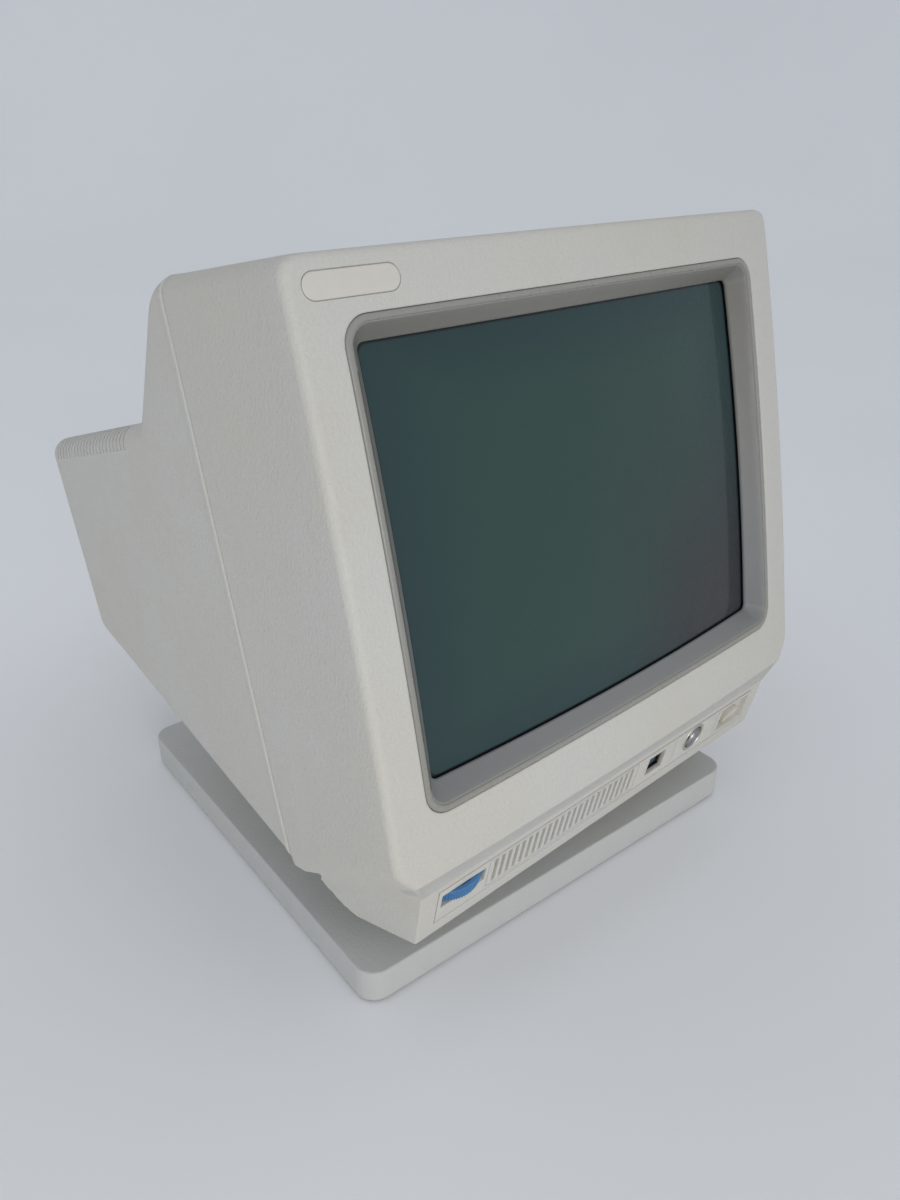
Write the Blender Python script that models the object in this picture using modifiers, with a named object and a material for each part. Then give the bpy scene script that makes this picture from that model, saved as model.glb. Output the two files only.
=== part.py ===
"""Desk-top CRT display terminal on a tilting and swivelling stand.

Metres, +Z up.  The base plate stands square on the floor with its centre at the origin.
The screen looks towards -Y.  The monitor is built in its own upright frame (top middle of
the face at the origin, +Y towards the back) and is then leaned back and turned on its stand.
"""
import bpy
import bmesh
from math import sin, cos, pi, radians, sqrt
from mathutils import Vector, Matrix

MM = 0.001
GAP = 0.3 * MM

# base plate
BASE_W = 285.5 * MM
BASE_D = 267.5 * MM
BASE_X = -6.25 * MM
BASE_Y = -13.25 * MM
BASE_TOP = 21.5 * MM
BASE_BOTTOM = 1.5 * MM
BASE_CORNER = 12 * MM
WALL = 3 * MM

# pose of the monitor on its stand
SWIVEL_DEG = 3.7
TILT_DEG = 13.8
TILT_AXIS = Vector((0, -30 * MM, 130 * MM))
PIVOT = Vector((0, 125.2 * MM, -205.7 * MM))
RUNNER_R = 92 * MM
RUNNER_W = 90 * MM

# monitor case
FACE_W = 320 * MM
SEAM_Y = 96 * MM
BULGE_X = 3.8 * MM
BULGE_Z = 3.6 * MM
FACE_MID_Z = -135 * MM
CREASE = -0.333
CHIN_BACK = 90 * MM

# window and picture tube
WIN_HW = 137 * MM
WIN_TOP = -24.1 * MM
WIN_BOTTOM = -238.4 * MM
WIN_R = 12 * MM
OPEN_HW = 127 * MM
OPEN_TOP = -34.4 * MM
OPEN_BOTTOM = -227 * MM
TUBE_Z = -130.7 * MM
TUBE_HW = 145 * MM
TUBE_HH = 114 * MM
NECK_R = 14.6 * MM

# control strip, measured along the strip from its top edge
STRIP_Y = 8 * MM
STRIP_Z = -281 * MM
STRIP_DEG = 24.7
STRIP_W = 143.5 * MM
PANEL_HW = 132 * MM
PANEL_TOP = 3.6 * MM
PANEL_H = 22.8 * MM
PANEL_T = 6 * MM
SLOT_COUNT = 23
SLOT_PITCH = 4.86 * MM
SLOT_FIRST = -93.6 * MM
SLOT_W = 2.1 * MM
WHEEL_U = -115.2 * MM
LOCK_U = 74 * MM
LOCK_V = 13.6 * MM
ROCKER_U = 114 * MM

VENT_COUNT = 22
VENT_PITCH = 5 * MM
VENT_FIRST = 180 * MM
VENT_W = 2.2 * MM


def clear_scene():
    for obj in list(bpy.data.objects):
        bpy.data.objects.remove(obj)


def new_collection(name):
    col = bpy.data.collections.new(name)
    bpy.context.scene.collection.children.link(col)
    return col


clear_scene()
PARTS = new_collection("crt_display_terminal")
CUTTERS = new_collection("cutters")
FRAMES = {}


def frame(name, parent, location, rotation=(0, 0, 0)):
    """Empty that carries a group of pieces; its origin lies on the group's joint axis."""
    empty = bpy.data.objects.new(name, None)
    empty.empty_display_size = 0.03
    empty.location = location
    empty.rotation_euler = rotation
    if parent:
        empty.parent = FRAMES[parent]
    bpy.context.scene.collection.objects.link(empty)
    FRAMES[name] = empty


frame("swivel_frame", None, (0, 0, 0), (0, 0, radians(SWIVEL_DEG)))
frame("tilt_frame", "swivel_frame", TILT_AXIS, (radians(-TILT_DEG), 0, 0))
frame("monitor_frame", "tilt_frame", -PIVOT)
frame("strip_frame", "monitor_frame", (0, STRIP_Y, STRIP_Z), (radians(STRIP_DEG), 0, 0))


# ---------------------------------------------------------------- materials

def material(name, colour, roughness, metallic=0.0):
    mat = bpy.data.materials.new(name)
    mat.use_nodes = True
    shader = mat.node_tree.nodes["Principled BSDF"]
    shader.inputs["Base Color"].default_value = (*colour, 1)
    shader.inputs["Roughness"].default_value = roughness
    shader.inputs["Metallic"].default_value = metallic
    mat.diffuse_color = (*colour, 1)
    return mat


PAINTS = {
    "case": ((0.62, 0.60, 0.54), 0.55, 0.0),
    "surround": ((0.36, 0.35, 0.32), 0.5, 0.0),
    "panel": ((0.60, 0.58, 0.52), 0.5, 0.0),
    "white": ((0.75, 0.73, 0.66), 0.45, 0.0),
    "blue": ((0.04, 0.16, 0.45), 0.4, 0.0),
    "dark": ((0.05, 0.05, 0.055), 0.5, 0.0),
    "glass": ((0.03, 0.06, 0.055), 0.08, 0.0),
    "steel": ((0.6, 0.6, 0.6), 0.35, 1.0),
    "zinc": ((0.7, 0.68, 0.62), 0.3, 1.0),
    "copper": ((0.7, 0.3, 0.15), 0.4, 1.0),
    "board": ((0.05, 0.22, 0.1), 0.5, 0.0),
    "rubber": ((0.04, 0.04, 0.04), 0.8, 0.0),
    "red": ((0.5, 0.05, 0.04), 0.5, 0.0),
    "ceramic": ((0.8, 0.8, 0.78), 0.4, 0.0),
    "ferrite": ((0.1, 0.1, 0.1), 0.6, 0.0),
    "nylon": ((0.8, 0.8, 0.74), 0.5, 0.0),
}


# ---------------------------------------------------------------- mesh tools

def finish_mesh(bm, name, parent, paint, collection, location=(0, 0, 0), rotation=(0, 0, 0)):
    bmesh.ops.remove_doubles(bm, verts=bm.verts, dist=1e-7)
    bmesh.ops.recalc_face_normals(bm, faces=bm.faces)
    mesh = bpy.data.meshes.new(name)
    bm.to_mesh(mesh)
    bm.free()
    obj = bpy.data.objects.new(name, mesh)
    collection.objects.link(obj)
    obj.location = location
    obj.rotation_euler = rotation
    if parent:
        obj.parent = FRAMES[parent]
    if paint:
        obj.data.materials.append(material(name + "_" + paint, *PAINTS[paint]))
        for poly in mesh.polygons:
            poly.use_smooth = True
        mesh.set_sharp_from_angle(angle=radians(35))
    else:
        obj.hide_render = True
        obj.display_type = "WIRE"
    return obj


def part(bm, name, parent, paint, location=(0, 0, 0), rotation=(0, 0, 0)):
    return finish_mesh(bm, name, parent, paint, PARTS, location, rotation)


def cutter(bm, name, parent, location=(0, 0, 0), rotation=(0, 0, 0)):
    return finish_mesh(bm, name, parent, None, CUTTERS, location, rotation)


def add_box(bm, x0, x1, y0, y1, z0, z1):
    made = bmesh.ops.create_cube(bm, size=1)
    centre = Vector(((x0 + x1) / 2, (y0 + y1) / 2, (z0 + z1) / 2))
    size = Vector((x1 - x0, y1 - y0, z1 - z0))
    for vert in made["verts"]:
        vert.co = centre + Vector(a * b for a, b in zip(vert.co, size))
    return made["verts"]


def box(*limits):
    bm = bmesh.new()
    add_box(bm, *limits)
    return bm


def add_loft(bm, rings, closed=False):
    """Skin equal rings of points; the two end rings are capped unless the loft closes on itself."""
    rows = [[bm.verts.new(p) for p in ring] for ring in rings]
    pairs = list(zip(rows, rows[1:]))
    if closed:
        pairs.append((rows[-1], rows[0]))
    for low, high in pairs:
        count = len(low)
        for i in range(count):
            j = (i + 1) % count
            bm.faces.new((low[i], low[j], high[j], high[i]))
    if not closed:
        bm.faces.new(rows[0])
        bm.faces.new(reversed(rows[-1]))


def loft(rings, closed=False):
    bm = bmesh.new()
    add_loft(bm, rings, closed)
    return bm


def circle(radius, y, segments, x=0.0, z=0.0):
    return [Vector((x + radius * cos(2 * pi * i / segments), y,
                    z + radius * sin(2 * pi * i / segments))) for i in range(segments)]


def add_turned(bm, profile, segments, x=0.0, z=0.0, closed=False):
    """Turned shape about an axis parallel to Y; profile is a list of (radius, y)."""
    add_loft(bm, [circle(r, y, segments, x, z) for r, y in profile], closed)


def turned(profile, segments, x=0.0, z=0.0, closed=False):
    bm = bmesh.new()
    add_turned(bm, profile, segments, x, z, closed)
    return bm


def upright(bm):
    """Turn a shape made about the Y axis so that its axis stands along Z (y becomes z)."""
    bmesh.ops.rotate(bm, verts=bm.verts, cent=(0, 0, 0), matrix=Matrix.Rotation(pi / 2, 3, "X"))
    return bm


def across(bm):
    """Turn a shape made about the Y axis so that its axis lies along X (y becomes x)."""
    bmesh.ops.rotate(bm, verts=bm.verts, cent=(0, 0, 0), matrix=Matrix.Rotation(-pi / 2, 3, "Z"))
    return bm


def add_prism(bm, outline, x0, x1):
    """Side outline (list of (y, z)) pushed through from x0 to x1."""
    add_loft(bm, [[Vector((x, y, z)) for y, z in outline] for x in (x0, x1)])


def prism(outline, x0, x1):
    bm = bmesh.new()
    add_prism(bm, outline, x0, x1)
    return bm


def rounded_rect(hw, top, bottom, radius, per_corner=3, per_side=1):
    """Corner-rounded rectangle in the XZ plane as (x, z) pairs, anticlockwise from the right."""
    corners = [(hw - radius, top - radius, 0), (-hw + radius, top - radius, 90),
               (-hw + radius, bottom + radius, 180), (hw - radius, bottom + radius, 270)]
    points = []
    for cx, cz, start in corners:
        arc = []
        for i in range(per_corner + 1):
            a = radians(start + 90 * i / per_corner)
            arc.append((cx + radius * cos(a), cz + radius * sin(a)))
        if points and per_side > 1:
            points += between(points[-1], arc[0], per_side)
        points += arc
    if per_side > 1:
        points += between(points[-1], points[0], per_side)
    return points


def between(a, b, parts):
    return [(a[0] + (b[0] - a[0]) * k / parts, a[1] + (b[1] - a[1]) * k / parts)
            for k in range(1, parts)]


def boolean(obj, other, operation="DIFFERENCE"):
    mod = obj.modifiers.new(operation.lower(), "BOOLEAN")
    mod.operation = operation
    mod.solver = "EXACT"
    mod.object = other


def bevel(obj, width, segments=2, angle=35):
    mod = obj.modifiers.new("bevel", "BEVEL")
    mod.width = width
    mod.segments = segments
    mod.limit_method = "ANGLE"
    mod.angle_limit = radians(angle)


# ---------------------------------------------------------------- shared surfaces

def face_y(x, z):
    """Front face of the bezel: a shallow bulge in both directions."""
    across_part = 1 - (x / (FACE_W / 2)) ** 2
    down_part = 1 - ((z - FACE_MID_Z) / FACE_MID_Z) ** 2
    return -BULGE_X * across_part - BULGE_Z * max(0.0, down_part)


def glass_y(x, z):
    """Front surface of the picture tube."""
    return 0.7 * MM + 6 * MM * (x / (130 * MM)) ** 2 + 2.94 * MM * ((z - TUBE_Z) / (100 * MM)) ** 2


def underside_z(y):
    """Bottom line of the rear cover, rising towards the back."""
    return -286.5 * MM + 0.497 * (y - SEAM_Y - 2 * MM)


# ---------------------------------------------------------------- front bezel

# front height, half width, front y, rise per metre of depth, rear y, follows the face bulge
BEZEL_ROWS = [
    (0, 151, 5, 0.05, 96, True),
    (-1.5, 156, 1.4, 0.05, 96, True),
    (-5, 159.1, 0, 0.05, 96, True),
    (-9, 160, 0, 0.05, 96, True),
    (-52, 160, 0, 0, 96, True),
    (-94, 160, 0, 0, 96, True),
    (-135, 160, 0, 0, 96, True),
    (-176, 160, 0, 0, 96, True),
    (-218, 160, 0, -0.15, 96, True),
    (-258, 160, 0, -0.31, 96, True),
    (-268, 151.5, 0, CREASE, 96, True),
    (-281, 143.5, 8, -0.3, 90, False),
    (-312.5, 142, 22.5, 0, 90, False),
]


def bezel_ring(row, inset, back):
    height, half_w, front, rise, rear, bulged = row
    sign = 1 if height > -135 else -1
    z0 = height * MM - (sign * inset if abs(height + 156) > 100 or height < -200 else 0)
    w = half_w * MM - inset
    y0 = front * MM + inset
    y1 = (rear * MM if not back else back) if rear > 90 else rear * MM - inset
    corner = 5 * MM if bulged else 1.2 * MM
    plan = [(-w, y1)]
    for i in range(4):
        a = radians(180 + 30 * i)
        plan.append((-w + corner + corner * cos(a), y0 + corner + corner * sin(a)))
    steps = 8
    for i in range(1, steps):
        plan.append((-w + corner + (2 * w - 2 * corner) * i / steps, y0))
    for i in range(4):
        a = radians(270 + 30 * i)
        plan.append((w - corner + corner * cos(a), y0 + corner + corner * sin(a)))
    plan.append((w, y1))
    ring = []
    for x, y in plan:
        shift = 0.0
        if bulged and y < y0 + corner * 1.01:
            shift = face_y(x, height * MM)
        flare = 0.0
        if not bulged and y > 0.05:
            flare = 7 * MM if x > 0 else -7 * MM
        ring.append(Vector((x + flare, y + shift, z0 + rise * (y - front * MM))))
    return ring


def bezel_hull(inset, back=None):
    return loft([bezel_ring(row, inset, back) for row in BEZEL_ROWS])


TUBE_POSTS = [(sx * 148.5 * MM, TUBE_Z + sz * 117.5 * MM) for sx in (-1, 1) for sz in (-1, 1)]
CASE_POSTS = [(sx * 128 * MM, z * MM) for sx in (-1, 1) for z in (-10, -262)]


def strip_box(u0, u1, v0, v1, d0, d1):
    """Box in the control strip's own frame: u across, v down the strip, d into the case."""
    return box(u0, u1, d0, d1, -v1, -v0)


def make_bezel():
    bezel = part(bezel_hull(0), "front_bezel", "monitor_frame", "case")
    boolean(bezel, cutter(bezel_hull(WALL, 100 * MM), "bezel_cavity", "monitor_frame"))
    posts = bmesh.new()
    for x, z in TUBE_POSTS:
        add_turned(posts, [(5.5 * MM, -1 * MM), (5.5 * MM, 24 * MM)], 12, x, z)
    for x, z in CASE_POSTS:
        add_turned(posts, [(4.5 * MM, -1 * MM), (4.5 * MM, SEAM_Y)], 12, x, z)
    boolean(bezel, cutter(posts, "bezel_posts", "monitor_frame"), "UNION")
    outline = rounded_rect(WIN_HW, WIN_TOP, WIN_BOTTOM, WIN_R, 4)
    window = loft([[Vector((x, y, z)) for x, z in outline] for y in (-0.03, 0.012)])
    boolean(bezel, cutter(window, "bezel_window", "monitor_frame"))
    holes = bmesh.new()
    for x, z in TUBE_POSTS:
        add_turned(holes, [(2.3 * MM, 4 * MM), (2.3 * MM, 30 * MM)], 10, x, z)
    for x, z in CASE_POSTS:
        add_turned(holes, [(2.3 * MM, 70 * MM), (2.3 * MM, 99 * MM)], 10, x, z)
    boolean(bezel, cutter(holes, "bezel_screw_holes", "monitor_frame"))
    hole = strip_box(-PANEL_HW - GAP, PANEL_HW + GAP, PANEL_TOP - GAP, PANEL_TOP + PANEL_H + GAP,
                     -6 * MM, 6 * MM)
    boolean(bezel, cutter(hole, "bezel_panel_hole", "strip_frame"))
    badge = loft([[Vector((x, y, z)) for x, z in badge_outline(0.3 * MM)] for y in (-0.02, 0.0)])
    boolean(bezel, cutter(badge, "bezel_badge_pocket", "monitor_frame"))


# ---------------------------------------------------------------- badge

def badge_outline(grow=0.0):
    points = rounded_rect(23 * MM + grow, -6.9 * MM + grow, -17.5 * MM - grow, 5 * MM, 4)
    return [(x - 129.8 * MM, z) for x, z in points]


def make_badge():
    outline = badge_outline()
    front = [Vector((x, face_y(x, z) - 0.5 * MM, z)) for x, z in outline]
    back = [Vector((x, face_y(x, z) + 0.4 * MM, z)) for x, z in outline]
    for ring in (front, back):
        level = sum(p.y for p in ring) / len(ring)
        for p in ring:
            p.y = level
    return loft([front, back])


# ---------------------------------------------------------------- screen surround

def surround_ring(hw, top, bottom, radius, depth):
    outline = rounded_rect(hw, top, bottom, radius, 4, 4)
    return [Vector((x, depth(x, z), z)) for x, z in outline]


def make_surround():
    g = GAP
    outer = (WIN_HW - g, WIN_TOP - g, WIN_BOTTOM + g, WIN_R - g)
    lip = (WIN_HW - 2.6 * MM, WIN_TOP - 2.6 * MM, WIN_BOTTOM + 2.6 * MM, WIN_R - 2.6 * MM)
    edge = (OPEN_HW, OPEN_TOP, OPEN_BOTTOM, 7 * MM)
    rings = [
        surround_ring(*outer, lambda x, z: face_y(x, z) + 0.2 * MM),
        surround_ring(*lip, lambda x, z: face_y(x, z) + 1.2 * MM),
        surround_ring(*edge, lambda x, z: glass_y(x, z) - 1.6 * MM),
        surround_ring(*edge, lambda x, z: glass_y(x, z) - 0.5 * MM),
        surround_ring(*outer, lambda x, z: glass_y(x, z) - 0.5 * MM),
    ]
    part(loft(rings, closed=True), "screen_surround", "monitor_frame", "surround")


# ---------------------------------------------------------------- picture tube

TUBE_SECTIONS = [
    (44, 145, 114, 22), (70, 128, 101, 34), (95, 103, 84, 44), (120, 76, 66, 46),
    (140, 48, 45, 40), (150, 34, 34, 34), (158, 27, 27, 27), (166, 20.5, 20.5, 20.5),
    (174, 16, 16, 16), (180, 14.6, 14.6, 14.6), (262, 14.6, 14.6, 14.6),
]


def tube_ring(hw, hh, radius, depth):
    outline = rounded_rect(hw, TUBE_Z + hh, TUBE_Z - hh, radius, 4, 3)
    return [Vector((x, depth if not callable(depth) else depth(x, z), z)) for x, z in outline]


def make_tube():
    front = []
    for s in (0.25, 0.5, 0.72, 0.9, 0.985):
        front.append(tube_ring(TUBE_HW * s, TUBE_HH * s, 22 * MM * s, glass_y))
    shell = [tube_ring(TUBE_HW, TUBE_HH, 22 * MM, 15 * MM)]
    for y, hw, hh, r in TUBE_SECTIONS:
        shell.append(tube_ring(hw * MM, hh * MM, r * MM, y * MM))
    inner = []
    for y, hw, hh, r in reversed(TUBE_SECTIONS):
        inner.append(tube_ring((hw - 2.5) * MM, (hh - 2.5) * MM, (r - 2.5) * MM, y * MM))
    inner.append(tube_ring(139 * MM, 108 * MM, 18 * MM, 24 * MM))
    back = lambda x, z: glass_y(x, z) + 9 * MM
    inner.append(tube_ring(80 * MM, 62 * MM, 12 * MM, back))
    part(loft(front + shell + inner), "crt_bulb", "monitor_frame", "glass")
    make_rim_band()
    make_tube_fittings()


def make_rim_band():
    inner, outer = 0.3 * MM, 1.6 * MM
    rings = []
    for grow, y in ((inner, 18), (outer, 18), (outer, 38), (inner, 38)):
        rings.append(tube_ring(TUBE_HW + grow, TUBE_HH + grow, 22 * MM + grow, y * MM))
    band = part(loft(rings, closed=True), "rim_band", "monitor_frame", "zinc")
    ears = bmesh.new()
    for sx in (-1, 1):
        for sz in (-1, 1):
            xs = sorted((sx * 138 * MM, sx * 155.5 * MM))
            zs = sorted((TUBE_Z + sz * 107 * MM, TUBE_Z + sz * 123.5 * MM))
            add_box(ears, *xs, 24.3 * MM, 26.3 * MM, *zs)
    boolean(band, cutter(ears, "rim_band_ears", "monitor_frame"), "UNION")
    holes = bmesh.new()
    for x, z in TUBE_POSTS:
        add_turned(holes, [(2.4 * MM, 20 * MM), (2.4 * MM, 30 * MM)], 10, x, z)
    boolean(band, cutter(holes, "rim_band_holes", "monitor_frame"))
    core = tube_ring(TUBE_HW + inner, TUBE_HH + inner, 22 * MM + inner, 10 * MM)
    core_back = tube_ring(TUBE_HW + inner, TUBE_HH + inner, 22 * MM + inner, 43 * MM)
    boolean(band, cutter(loft([core, core_back]), "rim_band_core", "monitor_frame"))


def screw(name, parent, x, z, tip, seat, head_r, shaft_r, head_h, paint="steel"):
    """Screw along Y whose head sits behind 'seat' and whose tip points forward."""
    profile = [(shaft_r * 0.5, tip), (shaft_r, tip + 1.5 * MM), (shaft_r, seat), (head_r, seat),
               (head_r, seat + head_h * 0.6), (head_r * 0.7, seat + head_h)]
    return part(turned(profile, 12, x, z), name, parent, paint)


def make_tube_fittings():
    for i, (x, z) in enumerate(TUBE_POSTS):
        screw("tube_screw_%d" % (i + 1), "monitor_frame", x, z, 7 * MM, 26.6 * MM,
              4.6 * MM, 2 * MM, 3 * MM, "zinc")
    z = TUBE_Z
    yoke = [(35.5, 152), (52, 152), (52, 156), (47, 157), (41, 176), (40, 190), (25, 194),
            (25, 202), (16, 202), (16, 181), (18, 174), (22.5, 166), (29, 158)]
    part(turned([(r * MM, y * MM) for r, y in yoke], 28, 0, z, True),
         "deflection_yoke", "monitor_frame", "copper")
    clamp = [(15.1, 202.4), (19.5, 202.4), (19.5, 209), (15.1, 209)]
    part(turned([(r * MM, y * MM) for r, y in clamp], 20, 0, z, True),
         "yoke_clamp", "monitor_frame", "steel")
    rings = [(15.1, 211), (23, 211), (23, 213.4), (18, 213.4), (18, 214.6), (23, 214.6),
             (23, 217), (15.1, 217)]
    part(turned([(r * MM, y * MM) for r, y in rings], 20, 0, z, True),
         "centring_rings", "monitor_frame", "nylon")
    gun = [(9, 192), (10.5, 194), (10.5, 214), (8, 216), (8, 232), (10.5, 234), (10.5, 255)]
    part(turned([(r * MM, y * MM) for r, y in gun], 16, 0, z), "electron_gun", "monitor_frame", "steel")
    base = [(14, 262.3), (14, 267), (9, 268)]
    part(turned([(r * MM, y * MM) for r, y in base], 16, 0, z), "tube_base", "monitor_frame", "dark")
    socket = [(16, 268.4), (18, 269.5), (18, 275.4), (16, 276)]
    part(turned([(r * MM, y * MM) for r, y in socket], 16, 0, z), "tube_socket", "monitor_frame", "nylon")
    part(box(-34 * MM, 34 * MM, 276.4 * MM, 278 * MM, z - 30 * MM, z + 32 * MM),
         "neck_board", "monitor_frame", "board")
    cap = [(13, 0), (13.5, 1.2), (9, 4.5), (4.5, 5.5), (4.5, 9)]
    seat_y, seat_z = 84 * MM, TUBE_Z + 93.4 * MM
    part(upright(turned([(r * MM, y * MM) for r, y in cap], 16)), "anode_cap", "monitor_frame",
         "rubber", (46 * MM, seat_y, seat_z), (radians(-34), 0, 0))
    tube_curve("eht_lead", [(46, 89.8, -28.8), (56, 97, -24), (84, 108, -42), (100, 114, -90),
                            (102, 110, -160), (100, 106, -209.6)], 2 * MM, "red")


def tube_curve(name, points, radius, paint):
    """Round lead along a smooth line of points (millimetres, monitor frame)."""
    curve = bpy.data.curves.new(name, "CURVE")
    curve.dimensions = "3D"
    curve.bevel_depth = radius
    curve.bevel_resolution = 2
    curve.use_fill_caps = True
    spline = curve.splines.new("POLY")
    line = smooth_line([Vector(p) * MM for p in points], 4)
    spline.points.add(len(line) - 1)
    for point, co in zip(spline.points, line):
        point.co = (*co, 1)
    obj = bpy.data.objects.new(name, curve)
    PARTS.objects.link(obj)
    obj.parent = FRAMES["monitor_frame"]
    curve.materials.append(material(name + "_" + paint, *PAINTS[paint]))


def smooth_line(points, steps):
    padded = [points[0]] + points + [points[-1]]
    line = []
    for a, b, c, d in zip(padded, padded[1:], padded[2:], padded[3:]):
        for k in range(steps):
            t = k / steps
            line.append(0.5 * (2 * b + (c - a) * t + (2 * a - 5 * b + 4 * c - d) * t * t
                               + (3 * b - a - 3 * c + d) * t ** 3))
    line.append(points[-1])
    return line


# ---------------------------------------------------------------- rear cover

# depth, half width, top, bottom, corner radius
COVER_SECTIONS = [
    (96.8, 160, 4.6, -286.5, 9), (106.5, 160, 3.6, -282.3, 9), (110.5, 160, 1.2, -280.3, 9),
    (114, 160, -3, -278.5, 9), (116.5, 160, -6.6, -277.3, 9), (151.5, 160, -53, -259.9, 9),
    (154.5, 160, -56, -258.4, 9), (159.5, 160, -58.2, -255.9, 9), (279.5, 160, -65.2, -196.3, 10),
    (288.5, 158.6, -66.8, -191.9, 10), (295, 154.5, -71, -188.5, 11), (299, 149.5, -77, -185.7, 11),
    (300.5, 145, -84, -180, 11),
]


def rear_lean(depth, z):
    """The rear wall leans, its top edge further back than its bottom edge."""
    share = min(1, max(0, (depth - 200 * MM) / (80 * MM)))
    return 0.033 * (z + 130 * MM) * share


def cover_hull(inset, front, per_corner=3):
    rings = []
    for y, hw, top, bottom, r in COVER_SECTIONS:
        depth = y * MM - (inset if y > 250 else 0)
        if y < 97:
            depth = front
        outline = rounded_rect(hw * MM - inset, top * MM - inset, bottom * MM + inset * 1.1,
                               max(r * MM - inset, 2 * MM), per_corner)
        rings.append([Vector((x, depth + rear_lean(depth, z), z)) for x, z in outline])
    return loft(rings)


PORTS = {
    "power_inlet": (-115, -160, 27.2, 19.6, -158),
    "keyboard_port": (122, -108, 16, 14, 120),
    "line_port": (122, -150, 15, 15, 120),
}


def make_rear_cover():
    cover = part(cover_hull(0, 96.8 * MM), "rear_cover", "monitor_frame", "case")
    boolean(cover, cutter(cover_hull(WALL, 90 * MM), "cover_cavity", "monitor_frame"))
    bosses = bmesh.new()
    for x, z in CASE_POSTS:
        end = 112 * MM if z > -0.1 else 152 * MM
        add_turned(bosses, [(6.5 * MM, SEAM_Y + 1.2 * MM), (6.5 * MM, end)], 12, x, z)
    boolean(cover, cutter(bosses, "cover_bosses", "monitor_frame"), "UNION")
    wells = bmesh.new()
    for x, z in CASE_POSTS:
        add_turned(wells, [(2.4 * MM, 90 * MM), (2.4 * MM, 104 * MM), (4.9 * MM, 104 * MM),
                           (4.9 * MM, 175 * MM)], 12, x, z)
    boolean(cover, cutter(wells, "cover_wells", "monitor_frame"))
    slots = bmesh.new()
    for i in range(VENT_COUNT):
        y = VENT_FIRST + VENT_PITCH * i
        top = -50 * MM
        low = -71 * MM - 0.06 * (y - VENT_FIRST)
        for x0, x1 in ((-165, -96), (96, 165)):
            add_box(slots, x0 * MM, x1 * MM, y - VENT_W / 2, y + VENT_W / 2, low, top)
    boolean(cover, cutter(slots, "cover_vents", "monitor_frame"))
    intake = bmesh.new()
    for i in range(14):
        x = (-65 + 10 * i) * MM
        add_box(intake, x - 1.5 * MM, x + 1.5 * MM, 218 * MM, 258 * MM, -250 * MM, -195 * MM)
    boolean(cover, cutter(intake, "cover_intake", "monitor_frame"))
    ports = bmesh.new()
    for x, z, w, h, _ in PORTS.values():
        add_box(ports, (x - w / 2 - 0.3) * MM, (x + w / 2 + 0.3) * MM, 289 * MM, 305 * MM,
                (z - h / 2 - 0.3) * MM, (z + h / 2 + 0.3) * MM)
    boolean(cover, cutter(ports, "cover_ports", "monitor_frame"))
    for i, (x, z) in enumerate(CASE_POSTS):
        screw("case_screw_%d" % (i + 1), "monitor_frame", x, z, 74 * MM, 104.3 * MM,
              4.4 * MM, 2 * MM, 3 * MM)


def make_ports():
    for name, (x, z, w, h, _) in PORTS.items():
        body = bmesh.new()
        add_box(body, (x - w / 2) * MM, (x + w / 2) * MM, 278.5 * MM, 301.3 * MM,
                (z - h / 2) * MM, (z + h / 2) * MM)
        socket = part(body, name, "monitor_frame", "dark")
        pocket = bmesh.new()
        if name == "line_port":
            add_turned(pocket, [(5.6 * MM, 288.5 * MM), (5.6 * MM, 305 * MM)], 16, x * MM, z * MM)
        else:
            add_box(pocket, (x - w / 2 + 2) * MM, (x + w / 2 - 2) * MM, 286.5 * MM, 305 * MM,
                    (z - h / 2 + 2) * MM, (z + h / 2 - 2) * MM)
        boolean(socket, cutter(pocket, name + "_pocket", "monitor_frame"))


# ---------------------------------------------------------------- electronics

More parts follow.
